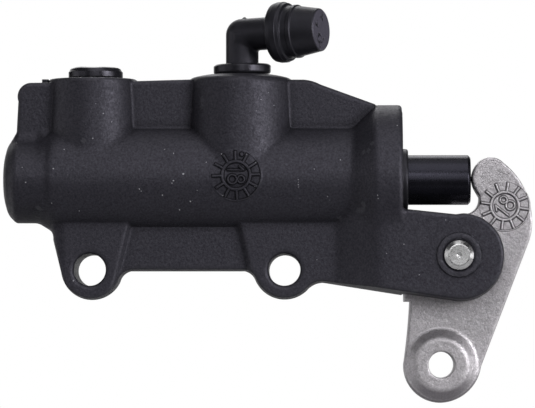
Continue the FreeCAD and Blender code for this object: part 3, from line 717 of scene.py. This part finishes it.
# Chipped marks on the casting's front: x, z, radius
MARKS = [
    (-0.6, 19.5, 0.22), (-2.6, 18.1, 0.17), (-2.9, 17.6, 0.14), (-27.2, 20.6, 0.17),
    (0.8, 13.9, 0.19), (-32.9, 17.8, 0.17), (-33.6, 20.9, 0.12), (-4.9, 15.2, 0.14),
    (-9.6, 16.4, 0.17), (-9.2, 16.0, 0.12), (53.0, 10.0, 0.14), (43.1, 29.4, 0.12),
    (39.1, 15.0, 0.14), (39.2, 14.3, 0.12), (22.9, 18.3, 0.10), (22.95, 17.8, 0.10),
    (22.9, 17.3, 0.10), (22.95, 16.8, 0.10), (-19.2, 26.9, 0.15), (-25.1, 24.6, 0.11),
    (-18.6, 34.0, 0.10), (-17.1, 32.0, 0.10), (-15.4, 30.3, 0.11), (-2.6, 23.8, 0.13),
    (-4.5, 24.6, 0.10), (-1.4, 12.2, 0.12), (2.2, 16.2, 0.10), (4.1, 21.9, 0.12),
    (15.3, 34.8, 0.12), (16.8, 36.3, 0.11), (14.3, 32.5, 0.10), (17.9, 33.7, 0.10),
    (26.2, 20.5, 0.10), (28.9, 14.9, 0.12), (31.5, 22.4, 0.10), (-22.0, 12.0, 0.10),
    (-27.6, 13.6, 0.12), (44.5, 5.1, 0.14), (47.6, -1.2, 0.11), (40.9, 3.2, 0.11),
    (26.7, 2.0, 0.11), (-24.9, -3.6, 0.14), (7.2, 23.6, 0.14), (12.3, 23.5, 0.14),
    (14.2, 21.8, 0.13), (14.0, 16.9, 0.13), (7.5, 15.1, 0.13),
]


def coated_casting():
    """Black coat with pale chips and flecks (the flecks partly painted glints), edges paled by wear
    and a painted highlight, and painted shade in the corners, at the foot of the dial relief and on
    faces that look down.
    """
    fin = Finish("coated_casting")
    fine = fin.noise(scale=3000, detail=3, roughness=0.7)
    blotch = fin.noise(scale=240, detail=4, roughness=0.6)
    medium = fin.noise(scale=1200, detail=2, roughness=0.5)
    color = fin.mix(base=(0.0135, 0.0130, 0.0172), over=(0.0310, 0.0299, 0.0383),
                    share=fin.span(fine, within=(0.3, 0.7)))
    color = fin.mix(color, over=(0.0275, 0.0268, 0.0330),
                    share=fin.span(blotch, within=(0.35, 0.68), to=(0.0, 0.45)))
    # Paler convex edges: worn coat, and partly a painted highlight on the edges.
    edge_wear_and_highlight = fin.calc("MULTIPLY", fin.edges(within=(0.515, 0.56)), 0.35)
    color = fin.mix(color, over=(0.10, 0.10, 0.112), share=edge_wear_and_highlight)
    uneven = fin.ragged(scale=2600, amount=0.0005)
    chips = fin.specks(uneven, scale=340, size=0.040, share=0.10)
    # Pale flecks in the coat, partly painted glints.
    flecks_and_glints = fin.specks(uneven, scale=820, size=0.13, share=0.10)
    color = fin.mix(color, over=(0.13, 0.13, 0.15), share=fin.calc("MULTIPLY", flecks_and_glints, 0.5))
    marks = fin.front_marks(fin.ragged(scale=3200, amount=0.0003), MARKS)
    bare = fin.calc("MAXIMUM", chips, marks)
    color = fin.mix(color, over=(0.50, 0.50, 0.54), share=bare)
    # Painted shade: darker at the foot of the dial relief and, through ambient occlusion, in
    # corners and creases.
    painted_shade = fin.grime_and_shade()
    corner = fin.add("AmbientOcclusion", {"Distance": 0.0024}, samples=2, only_local=True)
    corner_shade = fin.span(corner.outputs["AO"], within=(0.55, 0.96), to=(0.85, 0.0))
    painted_shade = fin.calc("MAXIMUM", painted_shade, corner_shade)
    color = fin.mix(color, over=(0.006, 0.006, 0.007), share=painted_shade)
    fin.set(Base_Color=color, Roughness=fin.span(medium, within=(0.3, 0.7), to=(0.44, 0.53)))
    # Less shine on faces that look down, a painted shade on undersides, and none in the painted
    # shade of corners and relief feet.
    shine = fin.noise(scale=2300, detail=2, roughness=0.6)
    shine = fin.span(shine, within=(0.32, 0.68), to=(0.33, 0.76))
    underside_shade = fin.span(fin.facing_up(), within=(-0.22, -0.82), to=(1.0, 0.28))
    shine = fin.calc("MULTIPLY", shine, underside_shade)
    shine = fin.calc("MULTIPLY", shine, fin.calc("SUBTRACT", 1.0, painted_shade))
    fin.set(Specular_IOR_Level=shine, Specular_Tint=COOL_TINT + (1.0,))
    height = fin.calc("ADD", fin.calc("MULTIPLY", fine, 0.7), fin.calc("MULTIPLY", medium, 1.1))
    fin.bump(height, distance=0.000075, strength=0.8)
    return fin.material


def raw_casting():
    """Bare pitted metal, with painted shade on faces that look down, edges paled by wear and a
    painted highlight, and painted shade at the foot of the dial relief.
    """
    fin = Finish("raw_casting")
    fine = fin.noise(scale=2900, detail=3, roughness=0.7)
    medium = fin.noise(scale=900, detail=3, roughness=0.6)
    broad = fin.noise(scale=120, detail=3, roughness=0.5)
    color = fin.mix(base=(0.345, 0.326, 0.348), over=(0.83, 0.794, 0.838),
                    share=fin.span(fine, within=(0.3, 0.7)))
    color = fin.mix(color, over=(0.69, 0.664, 0.690),
                    share=fin.span(medium, within=(0.35, 0.7), to=(0.0, 0.5)))
    color = fin.mix(color, over=(0.42, 0.405, 0.425),
                    share=fin.span(broad, within=(0.4, 0.7), to=(0.0, 0.40)))
    uneven = fin.ragged(scale=2600, amount=0.0004)
    pits = fin.specks(uneven, scale=800, size=0.17, share=0.16)
    color = fin.mix(color, over=(0.12, 0.115, 0.12), share=fin.calc("MULTIPLY", pits, 0.55))
    # Paler convex edges: worn metal, and partly a painted highlight on the edges.
    edge_wear_and_highlight = fin.calc("MULTIPLY", fin.edges(within=(0.52, 0.57)), 0.5)
    color = fin.mix(color, over=(0.85, 0.83, 0.85), share=edge_wear_and_highlight)
    # Painted shade on faces that look down.
    underside_shade = fin.span(fin.facing_up(), within=(-0.22, -0.56), to=(0.0, 0.70))
    color = fin.mix(color, over=(0.19, 0.175, 0.195), share=underside_shade)
    # Painted shade at the foot of the dial relief.
    color = fin.mix(color, over=(0.05, 0.047, 0.052), share=fin.grime_and_shade())
    fin.set(Base_Color=color, Metallic=0.8,
            Roughness=fin.span(medium, within=(0.3, 0.7), to=(0.36, 0.50)))
    height = fin.calc("ADD", fin.calc("MULTIPLY", fine, 0.6), medium)
    fin.bump(height, distance=0.00012, strength=0.8)
    return fin.material


def plastic(name, color, rough, grain=3000, relief=0.00002, strength=0.5, shine=0.5,
            tint=COOL_TINT, pale=None):
    """Plastic or rubber; pale is the colour of its grime."""
    fin = Finish(name)
    fine = fin.noise(scale=grain, detail=3, roughness=0.6)
    broad = fin.noise(scale=350, detail=3, roughness=0.55)
    shade = fin.mix(base=tuple(c * 0.8 for c in color), over=tuple(c * 1.25 for c in color),
                    share=fin.span(broad, within=(0.3, 0.7)))
    if pale:
        shade = fin.mix(shade, over=pale, share=fin.grime_and_shade())
    fin.set(Base_Color=shade, Specular_Tint=tint + (1.0,), Specular_IOR_Level=shine,
            Coat_Roughness=0.12,
            Roughness=fin.span(fine, within=(0.25, 0.75), to=(rough * 0.85, rough * 1.15)))
    height = fin.calc("ADD", fine, fin.calc("MULTIPLY", broad, 1.5))
    fin.bump(height, distance=relief, strength=strength)
    return fin.material


def metal(name, color, rough, axis=None, centre=None, rings=2600.0, relief=0.00001,
          strength=0.4):
    """Metal; with axis 0, 1 or 2 it has turning rings (per metre) about it through centre."""
    fin = Finish(name)
    fine = fin.noise(scale=2200, detail=3, roughness=0.6)
    shade = fin.mix(base=tuple(c * 0.86 for c in color),
                    over=tuple(min(1, c * 1.1) for c in color),
                    share=fin.span(fine, within=(0.3, 0.7)))
    height = fine
    if axis is not None:
        flatten = tuple(0.0 if i == axis else 1.0 for i in range(3))
        offset = fin.vector("SUBTRACT", {0: fin.place, 1: centre})
        offset = fin.vector("MULTIPLY", {0: offset, 1: flatten})
        reach = fin.vector("LENGTH", {0: offset}, output="Value")
        wave = fin.calc("SINE", fin.calc("MULTIPLY", reach, rings * 2 * math.pi))
        uneven = fin.noise(scale=900, detail=3, roughness=0.6)
        patchy = fin.span(uneven, within=(0.35, 0.65), to=(0.15, 1.0))
        wave = fin.calc("MULTIPLY", wave, patchy)
        height = fin.calc("ADD", fine, fin.calc("MULTIPLY", wave, 0.9))
        shade = fin.mix(shade, over=tuple(c * 0.6 for c in color),
                        share=fin.span(wave, within=(0.2, 1.0), to=(0.0, 0.22)))
    fin.set(Base_Color=shade, Metallic=1.0,
            Roughness=fin.span(fine, within=(0.3, 0.7), to=(rough * 0.8, rough * 1.25)))
    fin.bump(height, distance=relief, strength=strength)
    return fin.material


PIN_CENTRE = (PIVOT_X / 1000, AXIS_Y / 1000, PIVOT_Z / 1000)
BORE_CENTRE = (0, AXIS_Y / 1000, AXIS_Z / 1000)

CAST = coated_casting()
RAW = raw_casting()
ROD = plastic("anodised_rod", color=(0.006, 0.006, 0.008), rough=0.28, grain=2500,
              relief=0.000002, strength=0.2, shine=0.46, tint=(0.78, 0.76, 1.0))
ELBOW = plastic("moulded_nylon", color=(0.018, 0.018, 0.022), rough=0.47, grain=2600,
                relief=0.000010)
CAP = plastic("moulded_rubber", color=(0.013, 0.013, 0.016), rough=0.44, grain=2400,
              relief=0.00001, strength=0.4, shine=0.46, pale=(0.085, 0.080, 0.105))
GLOSS = plastic("glossy_rubber", color=(0.015, 0.015, 0.018), rough=0.30, grain=1500)
PLUG = plastic("glossy_plug", color=(0.018, 0.018, 0.022), rough=0.28, grain=1300)
WIPER = plastic("wiper_rubber", color=(0.018, 0.018, 0.021), rough=0.40, grain=2400)
ZINC = metal("bright_zinc", color=(0.80, 0.795, 0.805), rough=0.28, axis=1,
             centre=PIN_CENTRE, rings=2300, relief=0.000003, strength=0.5)
ZINC_X = metal("zinc_turned", color=(0.70, 0.70, 0.69), rough=0.28, axis=0,
               centre=BORE_CENTRE, rings=2500)
STEEL = metal("dark_steel", color=(0.13, 0.13, 0.14), rough=0.35)
ALUMINIUM = metal("turned_aluminium", color=(0.62, 0.62, 0.63), rough=0.3, axis=0,
                  centre=BORE_CENTRE)
BRONZE = metal("sintered_bronze", color=(0.50, 0.34, 0.18), rough=0.42)
NYLON = plastic("natural_nylon", color=(0.62, 0.60, 0.54), rough=0.45)

# ------------------------------------------------------------------ CAD pieces kept as they are
CAD_FINISH = {
    "pin_clip": STEEL, "side_washers": NYLON, "lever_bush": BRONZE, "piston": ALUMINIUM,
    "primary_cup": WIPER, "secondary_cup": WIPER, "cup_shim": ZINC_X, "spring_seat": ZINC_X,
    "stop_washer": ZINC_X, "retaining_ring": STEEL,
}
for piece, material in CAD_FINISH.items():
    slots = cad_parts[piece].data.materials
    slots.clear()
    slots.append(material)

# The return spring stands on the closed end of the bore.
spring_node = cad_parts["return_spring"]
spring = bpy.data.objects.new("coil_spring", spring_node.data.copy())
bpy.context.scene.collection.objects.link(spring)
spring.matrix_world = spring_node.matrix_world.copy()
spring.data.materials.clear()
spring.data.materials.append(STEEL)
hand_over(spring, "body", replaced="return_spring")
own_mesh(spring)

# ------------------------------------------------------------------ casting, lever and elbow
shell = contour(casting_field, low=(-39.3, -29.8, -8.0), high=(66.6, 0.9, 42.0),
                cell=0.36)
casting = make_object("casting", *shell, CAST)
hand_over(casting, "body", replaced="body_casting")

shell = contour(lever_field, low=(43.6, -21.0, -28.2), high=(72.0, -5.8, 24.2),
                cell=0.24)
lever = make_object("rocker_lever", *shell, RAW)
hand_over(lever, "lever", replaced="lever")

shell = contour(elbow_field, low=(7.2, -23.6, 30.9), high=(28.5, -9.5, 53.5),
                cell=0.22)
elbow = make_object("hose_elbow", *shell, ELBOW)
hand_over(elbow, "elbow", replaced="elbow_fitting")

# ------------------------------------------------------------------ lathed parts
# Profiles are (along, radius[, fillet]), measured from the part's origin.
X_AXIS, Y_AXIS, Z_AXIS = (1, 0, 0), (0, 1, 0), (0, 0, 1)

ROD_RADIUS = 5.15
rod = turned("plunger_rod", sampled([
    (0, 0), (0, 3.0, 0.2), (6.0, 3.0, 0.3), (6.0, ROD_RADIUS, 0.3), (29.9, ROD_RADIUS, 0.35),
    (30.4, 4.6, 0.3), (30.4, 0.9, 0.2), (30.25, 0.5), (30.2, 0),
]), (28.0, AXIS_Y, AXIS_Z), X_AXIS, ROD, segments=160)
hand_over(rod, "piston", replaced="plunger")

wiper = turned("bore_wiper", sampled([
    (0.0, 5.8), (0.0, 7.48, 0.2), (3.65, 7.48, 0.15), (3.65, 6.45, 0.25), (4.75, 6.4, 0.45),
    (4.9, 5.9, 0.25), (4.7, 5.2, 0.1), (4.3, 5.2, 0.1), (3.4, 5.8),
]), (40.62, AXIS_Y, AXIS_Z), X_AXIS, WIPER, segments=144)
hand_over(wiper, "body", replaced="dust_wiper")


def tilt_flange(points):
    """The grommet's flange sits a little askew."""
    moved = points.copy()
    moved[:, 0] += np.clip((points[:, 0] - 7.4) / 0.4, 0, 1) * 0.018 * points[:, 1]
    return moved


grommet = turned("inlet_seal", sampled([
    (0, 2.9), (0, 4.5, 0.1), (0.4, 4.73, 0.1), (7.84, 4.73, 0.12), (7.86, 5.75, 0.12),
    (8.2, 5.92, 0.2), (9.45, 5.92, 0.3), (9.8, 5.45, 0.3), (9.7, 3.9, 0.3), (9.7, 2.9),
]), (INLET_X, AXIS_Y, 32.8), Z_AXIS, GLOSS, segments=144, shape=tilt_flange)
hand_over(grommet, "body", replaced="inlet_grommet")


def wavy_top(points):
    """The plug's top is wavy and its rim not quite round."""
    along, side, other = points.T
    moved = points.copy()
    top = np.clip((along - 6.8) / 1.2, 0, 1)
    moved[:, 0] += top * 0.11 * value_noise(np.stack([side, other, along * 0], 1), 2.6, seed=7)
    rim = np.clip((along - 6.0) / 0.3, 0, 1)
    rim = rim * np.clip((np.hypot(side, other) - 4.0) / 1.0, 0, 1)
    grow = 1 + rim * 0.012 * value_noise(points * np.array([0.6, 1, 1]), 1.9, seed=3)
    moved[:, 1:] *= grow[:, None]
    return moved


plug = turned("port_plug", sampled([
    (0, 0), (0, 4.0, 0.2), (0.5, 4.4, 0.2), (6.12, 4.4, 0.1), (6.12, 5.3, 0.15),
    (6.4, 5.62, 0.2), (7.5, 5.62, 0.25), (7.75, 5.4, 0.2), (8.2, 5.2, 0.4), (8.42, 4.4, 0.4),
    (8.40, 3.2), (8.36, 2.2), (8.34, 1.2), (8.33, 0),
]), (OUTLET_X, AXIS_Y, 33.5), Z_AXIS, PLUG, segments=144, shape=wavy_top)
hand_over(plug, "outlet_plug", replaced="outlet_plug")

# The elbow's cap: its outside, its end face, and the socket that the arm goes into.
CAP_END, CAP_END_RADIUS, CAP_END_RINGS = 10.2, 4.12, 24
SOCKET_FLOOR, SOCKET_RADIUS = 8.4, 3.41
cap_profile = sampled([
    (-0.4, SOCKET_RADIUS), (-0.4, 5.45, 0.35), (0.0, 6.02, 0.4), (1.0, 6.28, 0.6),
    (2.15, 6.27, 0.10), (2.30, 6.14, 0.1), (2.9, 6.0, 0.12), (3.05, 5.42, 0.3),
    (4.3, 5.30, 0.2), (4.42, 5.52, 0.12), (5.15, 5.5, 0.15), (5.35, 5.22, 0.3),
    (9.95, 4.42, 0.25), (CAP_END, CAP_END_RADIUS),
])
cap_profile += [
    (CAP_END, CAP_END_RADIUS * (1 - k / CAP_END_RINGS)) for k in range(1, CAP_END_RINGS + 1)]
cap_profile += [(SOCKET_FLOOR, 0.0), (SOCKET_FLOOR, SOCKET_RADIUS)]


def pitted_end(points):
    """The cap's end face is uneven, as moulded rubber is round its gate."""
    moved = points.copy()
    reach = np.hypot(points[:, 1], points[:, 2])
    end = np.clip((points[:, 0] - 9.95) / 0.2, 0, 1) * np.clip((4.0 - reach) / 0.5, 0, 1)
    flat = points * np.array([0.0, 1, 1])
    noise = value_noise(flat, 0.85, seed=11) + 0.6 * value_noise(flat, 0.45, seed=5)
    moved[:, 0] += end * (-0.30 * np.maximum(noise - 0.15, 0) + 0.03 * noise)
    return moved


def end_grime(points):
    """Grime on the cap's end face, except in its pits."""
    on_end = (np.hypot(points[:, 1], points[:, 2]) < 4.13) & (points[:, 0] > 9.0)
    return np.where(on_end, np.clip((points[:, 0] - CAP_END) / 0.10 + 1.2, 0, 1), 0.0)


cap = turned("elbow_dust_cap", cap_profile, KNEE + ARM * 7.8, ARM, CAP, segments=150,
             shape=pitted_end, grime_and_shade=end_grime)
hand_over(cap, "elbow_cap", replaced="elbow_cap")

# The pin's front face has fine turning steps; a groove runs round its back end.
PIN_FRONT, PIN_SIDE, PIN_GROOVE = -28.05, 2.995, 2.4
pin_profile = [(0.35, 0.0), (0.32, 0.12), (0.12, 0.32), (0.0, 0.45)]
for k in range(1, 10):
    radius = 0.45 + 0.17 * k
    pin_profile += [(0.004, radius - 0.06), (0.0, radius)]
pin_profile += sampled([
    (0.0, 2.10), (0.02, 2.25, 0.04), (0.75, PIN_SIDE, 0.10), (26.27, PIN_SIDE, 0.05),
    (26.27, PIN_GROOVE, 0.03), (26.93, PIN_GROOVE, 0.03), (26.93, PIN_SIDE, 0.05),
    (27.5, PIN_SIDE, 0.1), (27.8, 2.7, 0.1), (27.8, 0),
])
pin = turned("clevis_pin", pin_profile, (PIVOT_X, PIN_FRONT, PIVOT_Z), Y_AXIS, ZINC,
             segments=128, sharp=50)
hand_over(pin, "body", replaced="pivot_pin")

# ------------------------------------------------------------------ cast date dials
DIAL_RING, TICK_END, DIAL_RIM = 2.86, 4.9, 5.12  # radii


def stroke(x, y, x0, y0, x1, y1):
    """Distance to a line segment."""
    run_x, run_y = x1 - x0, y1 - y0
    share = ((x - x0) * run_x + (y - y0) * run_y) / (run_x * run_x + run_y * run_y)
    share = np.clip(share, 0, 1)
    return np.hypot(x - x0 - run_x * share, y - y0 - run_y * share)


def dial_height(x, y, first_tick, turn, rib, high, dot):
    """Height of a dial's relief and the distance to it.

    The relief is a ring, twelve ticks, the number 18, a low rim and maybe a dot (x, y, radius).
    """
    reach = np.hypot(x, y)
    gap = np.abs(reach - DIAL_RING) - rib * 0.55
    angle = np.degrees(np.arctan2(y, x)) - first_tick
    off = np.radians((angle + 15) % 30 - 15)
    tick = np.maximum(np.abs(reach * np.sin(off)) - rib * 0.46,
                      np.maximum(2.8 - reach, reach - TICK_END))
    gap = np.minimum(gap, tick)
    cosine, sine = math.cos(turn), math.sin(turn)
    right, up = x * cosine + y * sine, -x * sine + y * cosine
    one = np.minimum(stroke(right, up, -1.08, -1.68, -1.08, 1.55),
                     stroke(right, up, -1.08, 1.55, -1.82, 0.7))
    eight = np.minimum(np.abs(np.hypot(right - 0.82, up - 0.98) - 0.70),
                       np.abs(np.hypot(right - 0.82, up + 0.80) - 0.90))
    gap = np.minimum(gap, np.minimum(one, eight) - rib * 0.36)
    rim = np.abs(reach - DIAL_RIM) - 0.13
    if dot:
        gap = np.minimum(gap, np.hypot(x - dot[0], y - dot[1]) - dot[2])
    height = high * smoothstep(np.clip(0.5 - gap / 0.2, 0, 1))
    # The rim is low, and fades out towards the upper left.
    side = np.clip(0.55 + 0.6 * (x - y) / np.maximum(reach, 1e-6), 0, 1)
    height = np.maximum(height, 0.45 * high * side * smoothstep(np.clip(0.5 - rim / 0.2, 0, 1)))
    # The painted shade round the rim fades out towards the upper left too.
    rim_gap = np.where(reach < DIAL_RIM, rim + 0.05, 9.0) + 0.6 * np.clip((0.85 - side) / 0.3, 0, 1)
    return height, np.minimum(gap, rim_gap)


def dial_patch(name, field, centre, radius, start_y, material, foot_shade, **relief):
    """A fine sheet with a dial's relief that follows a front; its rim dips under the surface."""
    count = 200
    line = np.linspace(-radius, radius, count)
    across, up = np.meshgrid(line, line, indexing="ij")
    x, z = (centre[0] + across).ravel(), (centre[1] + up).ravel()
    y = np.full(x.shape, start_y)
    for _ in range(40):
        y = y + np.clip(field(x, y, z), -0.5, 0.5)
    normals = gradient(field, x, y, z, 0.15)
    normals /= np.linalg.norm(normals, axis=1)[:, None]
    height, gap = dial_height(across.ravel(), up.ravel(), **relief)
    foot = np.clip(1 - np.abs(gap - 0.13) / 0.16, 0, 1)
    reach = np.hypot(across, up)
    rim = np.clip((reach.ravel() - (radius - 0.35)) / 0.3, 0, 1)
    lift = (height + 0.045) * (1 - rim) - 0.12 * rim
    points = np.stack([x, y, z], 1) + normals * lift[:, None]
    grid = np.arange(count * count).reshape(count, count)

    def corners(array):
        return [array[:-1, :-1], array[1:, :-1], array[1:, 1:], array[:-1, 1:]]

    whole = np.all(corners(reach < radius), axis=0)
    faces = np.stack(corners(grid), -1)[whole]
    used = np.unique(faces)
    obj = make_object(name, points[used], np.searchsorted(used, faces), material, sharp=60)
    # Painted shade: a dark line round the foot of the relief.
    set_grime_and_shade(obj, (foot_shade * smoothstep(foot) * (1 - rim))[used])
    return obj


dial = dial_patch("body_date_dial", casting_field, centre=(10.19, 19.22), radius=5.75,
                  start_y=-26.5, material=CAST, foot_shade=0.9, first_tick=92.0,
                  turn=math.radians(-90), rib=0.46, high=0.30, dot=(1.13, 4.27, 0.36))
hand_over(dial, "body")
dial = dial_patch("lever_date_dial", lever_field, centre=(65.32, 13.08), radius=5.5,
                  start_y=-19.0, material=RAW, foot_shade=0.95, first_tick=82.0,
                  turn=math.radians(52), rib=0.42, high=0.34, dot=None)
hand_over(dial, "lever")


# ------------------------------------------------------------------ floor (metres from here on)
FLOOR_RADIUS, FLOOR_RINGS, FLOOR_SPOKES = 0.17, 12, 72


def floor_material():
    """White that glows for the camera, fades out at its rim and is clear from below."""
    material = bpy.data.materials.new("floor_white")
    nodes = Nodes(material)
    output = nodes.add("OutputMaterial")
    white = nodes.add("BsdfDiffuse", {"Color": (0.8, 0.8, 0.8, 1)})
    clear = nodes.add("BsdfTransparent")
    mixed = nodes.add("MixShader")
    geometry = nodes.add("NewGeometry")
    place = nodes.add("TexCoord").outputs["Object"]
    reach = nodes.vector("LENGTH", {0: place}, output="Value")
    fade = nodes.span(reach, within=(0.10, 0.165))
    hidden = nodes.calc("MAXIMUM", fade, geometry.outputs["Backfacing"])
    glow = nodes.add("Emission")
    seen = nodes.add("LightPath").outputs["Is Camera Ray"]
    nodes.feed(glow, {"Strength": nodes.calc("MULTIPLY", seen, 0.36)})
    pale = nodes.add("AddShader", {0: white.outputs[0], 1: glow.outputs[0]})
    nodes.feed(mixed, {0: hidden, 1: pale.outputs[0], 2: clear.outputs[0]})
    nodes.feed(output, {"Surface": mixed.outputs[0]})
    return material


def build_floor():
    verts, faces = [(0.0, 0.0, 0.0)], []
    for ring in range(1, FLOOR_RINGS + 1):
        radius = FLOOR_RADIUS * ring / FLOOR_RINGS
        angles = [2 * math.pi * k / FLOOR_SPOKES for k in range(FLOOR_SPOKES)]
        verts += [(radius * math.cos(a), radius * math.sin(a), 0.0) for a in angles]
    for k in range(FLOOR_SPOKES):
        faces.append((0, 1 + k, 1 + (k + 1) % FLOOR_SPOKES))
    for ring in range(FLOOR_RINGS - 1):
        first = 1 + ring * FLOOR_SPOKES
        for k in range(FLOOR_SPOKES):
            here, after = first + k, first + (k + 1) % FLOOR_SPOKES
            faces.append((here, here + FLOOR_SPOKES, after + FLOOR_SPOKES, after))
    mesh = bpy.data.meshes.new("floor")
    mesh.from_pydata(verts, [], faces)
    floor = bpy.data.objects.new("floor", mesh)
    floor.location = (0.016, 0.035, -0.0314)
    bpy.context.scene.collection.objects.link(floor)
    mesh.materials.append(floor_material())


build_floor()

# ------------------------------------------------------------------ lights, world and camera
LIGHT_TARGET = Vector((0.016, -0.0134, 0.014))
# name, degrees to the right of the front, degrees up, distance, size, watts
LIGHTS = [
    ("key_softbox", 44, 14, 0.60, 0.22, 1.36),
    ("top_softbox", 4, 60, 0.60, 0.42, 0.73),
    ("right_softbox", 64, -1, 0.60, 0.22, 0.57),
    ("side_strip", 86, -3, 0.60, 0.22, 0.20),
    ("front_fill", 0, 15, 0.60, 0.26, 0.29),
    ("front_strip", -2, 27, 0.60, 0.12, 0.24),
    ("left_soft", -54, 18, 0.60, 0.28, 0.18),
    ("left_fill", -90, 6, 0.60, 0.40, 0.40),
    ("overhead", 0, 92, 0.50, 0.25, 0.11),
    ("rear_softbox", 0, 135, 0.55, 0.25, 0.40),
    ("rear_fill", 203, 32, 0.60, 0.40, 0.36),
]


def aim(obj, target, right, up, distance):
    """Puts an object off a target, degrees to the right of the front and up, facing it."""
    turn, rise = math.radians(right), math.radians(up)
    back = Vector((
        math.sin(turn) * math.cos(rise), -math.cos(turn) * math.cos(rise), math.sin(rise)))
    obj.location = target + back * distance
    obj.rotation_mode = "QUATERNION"
    obj.rotation_quaternion = (-back).to_track_quat("-Z", "Y")
    bpy.context.scene.collection.objects.link(obj)


for name, right, up, distance, size, watts in LIGHTS:
    light = bpy.data.lights.new(name, "AREA")
    light.shape = "RECTANGLE"
    light.size = light.size_y = size
    light.energy = watts
    lamp = bpy.data.objects.new(name, light)
    lamp.visible_camera = False
    aim(lamp, LIGHT_TARGET, right, up, distance)


def build_world():
    """White to the camera; other rays see a glow below and behind the product."""
    world = bpy.data.worlds.new("studio")
    bpy.context.scene.world = world
    nodes = Nodes(world)
    output = nodes.add("OutputWorld")
    background = nodes.add("Background")
    way = nodes.split(nodes.add("TexCoord").outputs["Generated"])
    downward = nodes.span(way["Z"], within=(-0.2, -0.9), to=(0.0, 4.0))
    backward = nodes.span(way["Y"], within=(-0.1, 0.3))
    below = nodes.calc("MULTIPLY", downward, backward)
    behind = nodes.span(way["Y"], within=(0.80, 0.97), to=(0.01, 0.85))
    glow = nodes.calc("ADD", below, behind)
    seen = nodes.add("LightPath").outputs["Is Camera Ray"]
    shade = nodes.mix(base=glow, over=(1.0, 1.0, 1.0), share=seen)
    nodes.feed(background, {"Color": shade, "Strength": 1.0})
    nodes.feed(output, {"Surface": background.outputs[0]})


build_world()

scene = bpy.context.scene
scene.view_settings.view_transform = "Standard"
scene.view_settings.look = "None"
scene.view_settings.exposure = 0.0
scene.view_settings.gamma = 1.0

lens = bpy.data.cameras.new("camera")
lens.sensor_width = 36.0
lens.lens = 309.0
lens.clip_start, lens.clip_end = 0.05, 10.0
camera = bpy.data.objects.new("camera", lens)
aim(camera, Vector((0.01646, -0.0134, 0.01369)), right=0.8, up=-1.8, distance=0.95)
scene.camera = camera
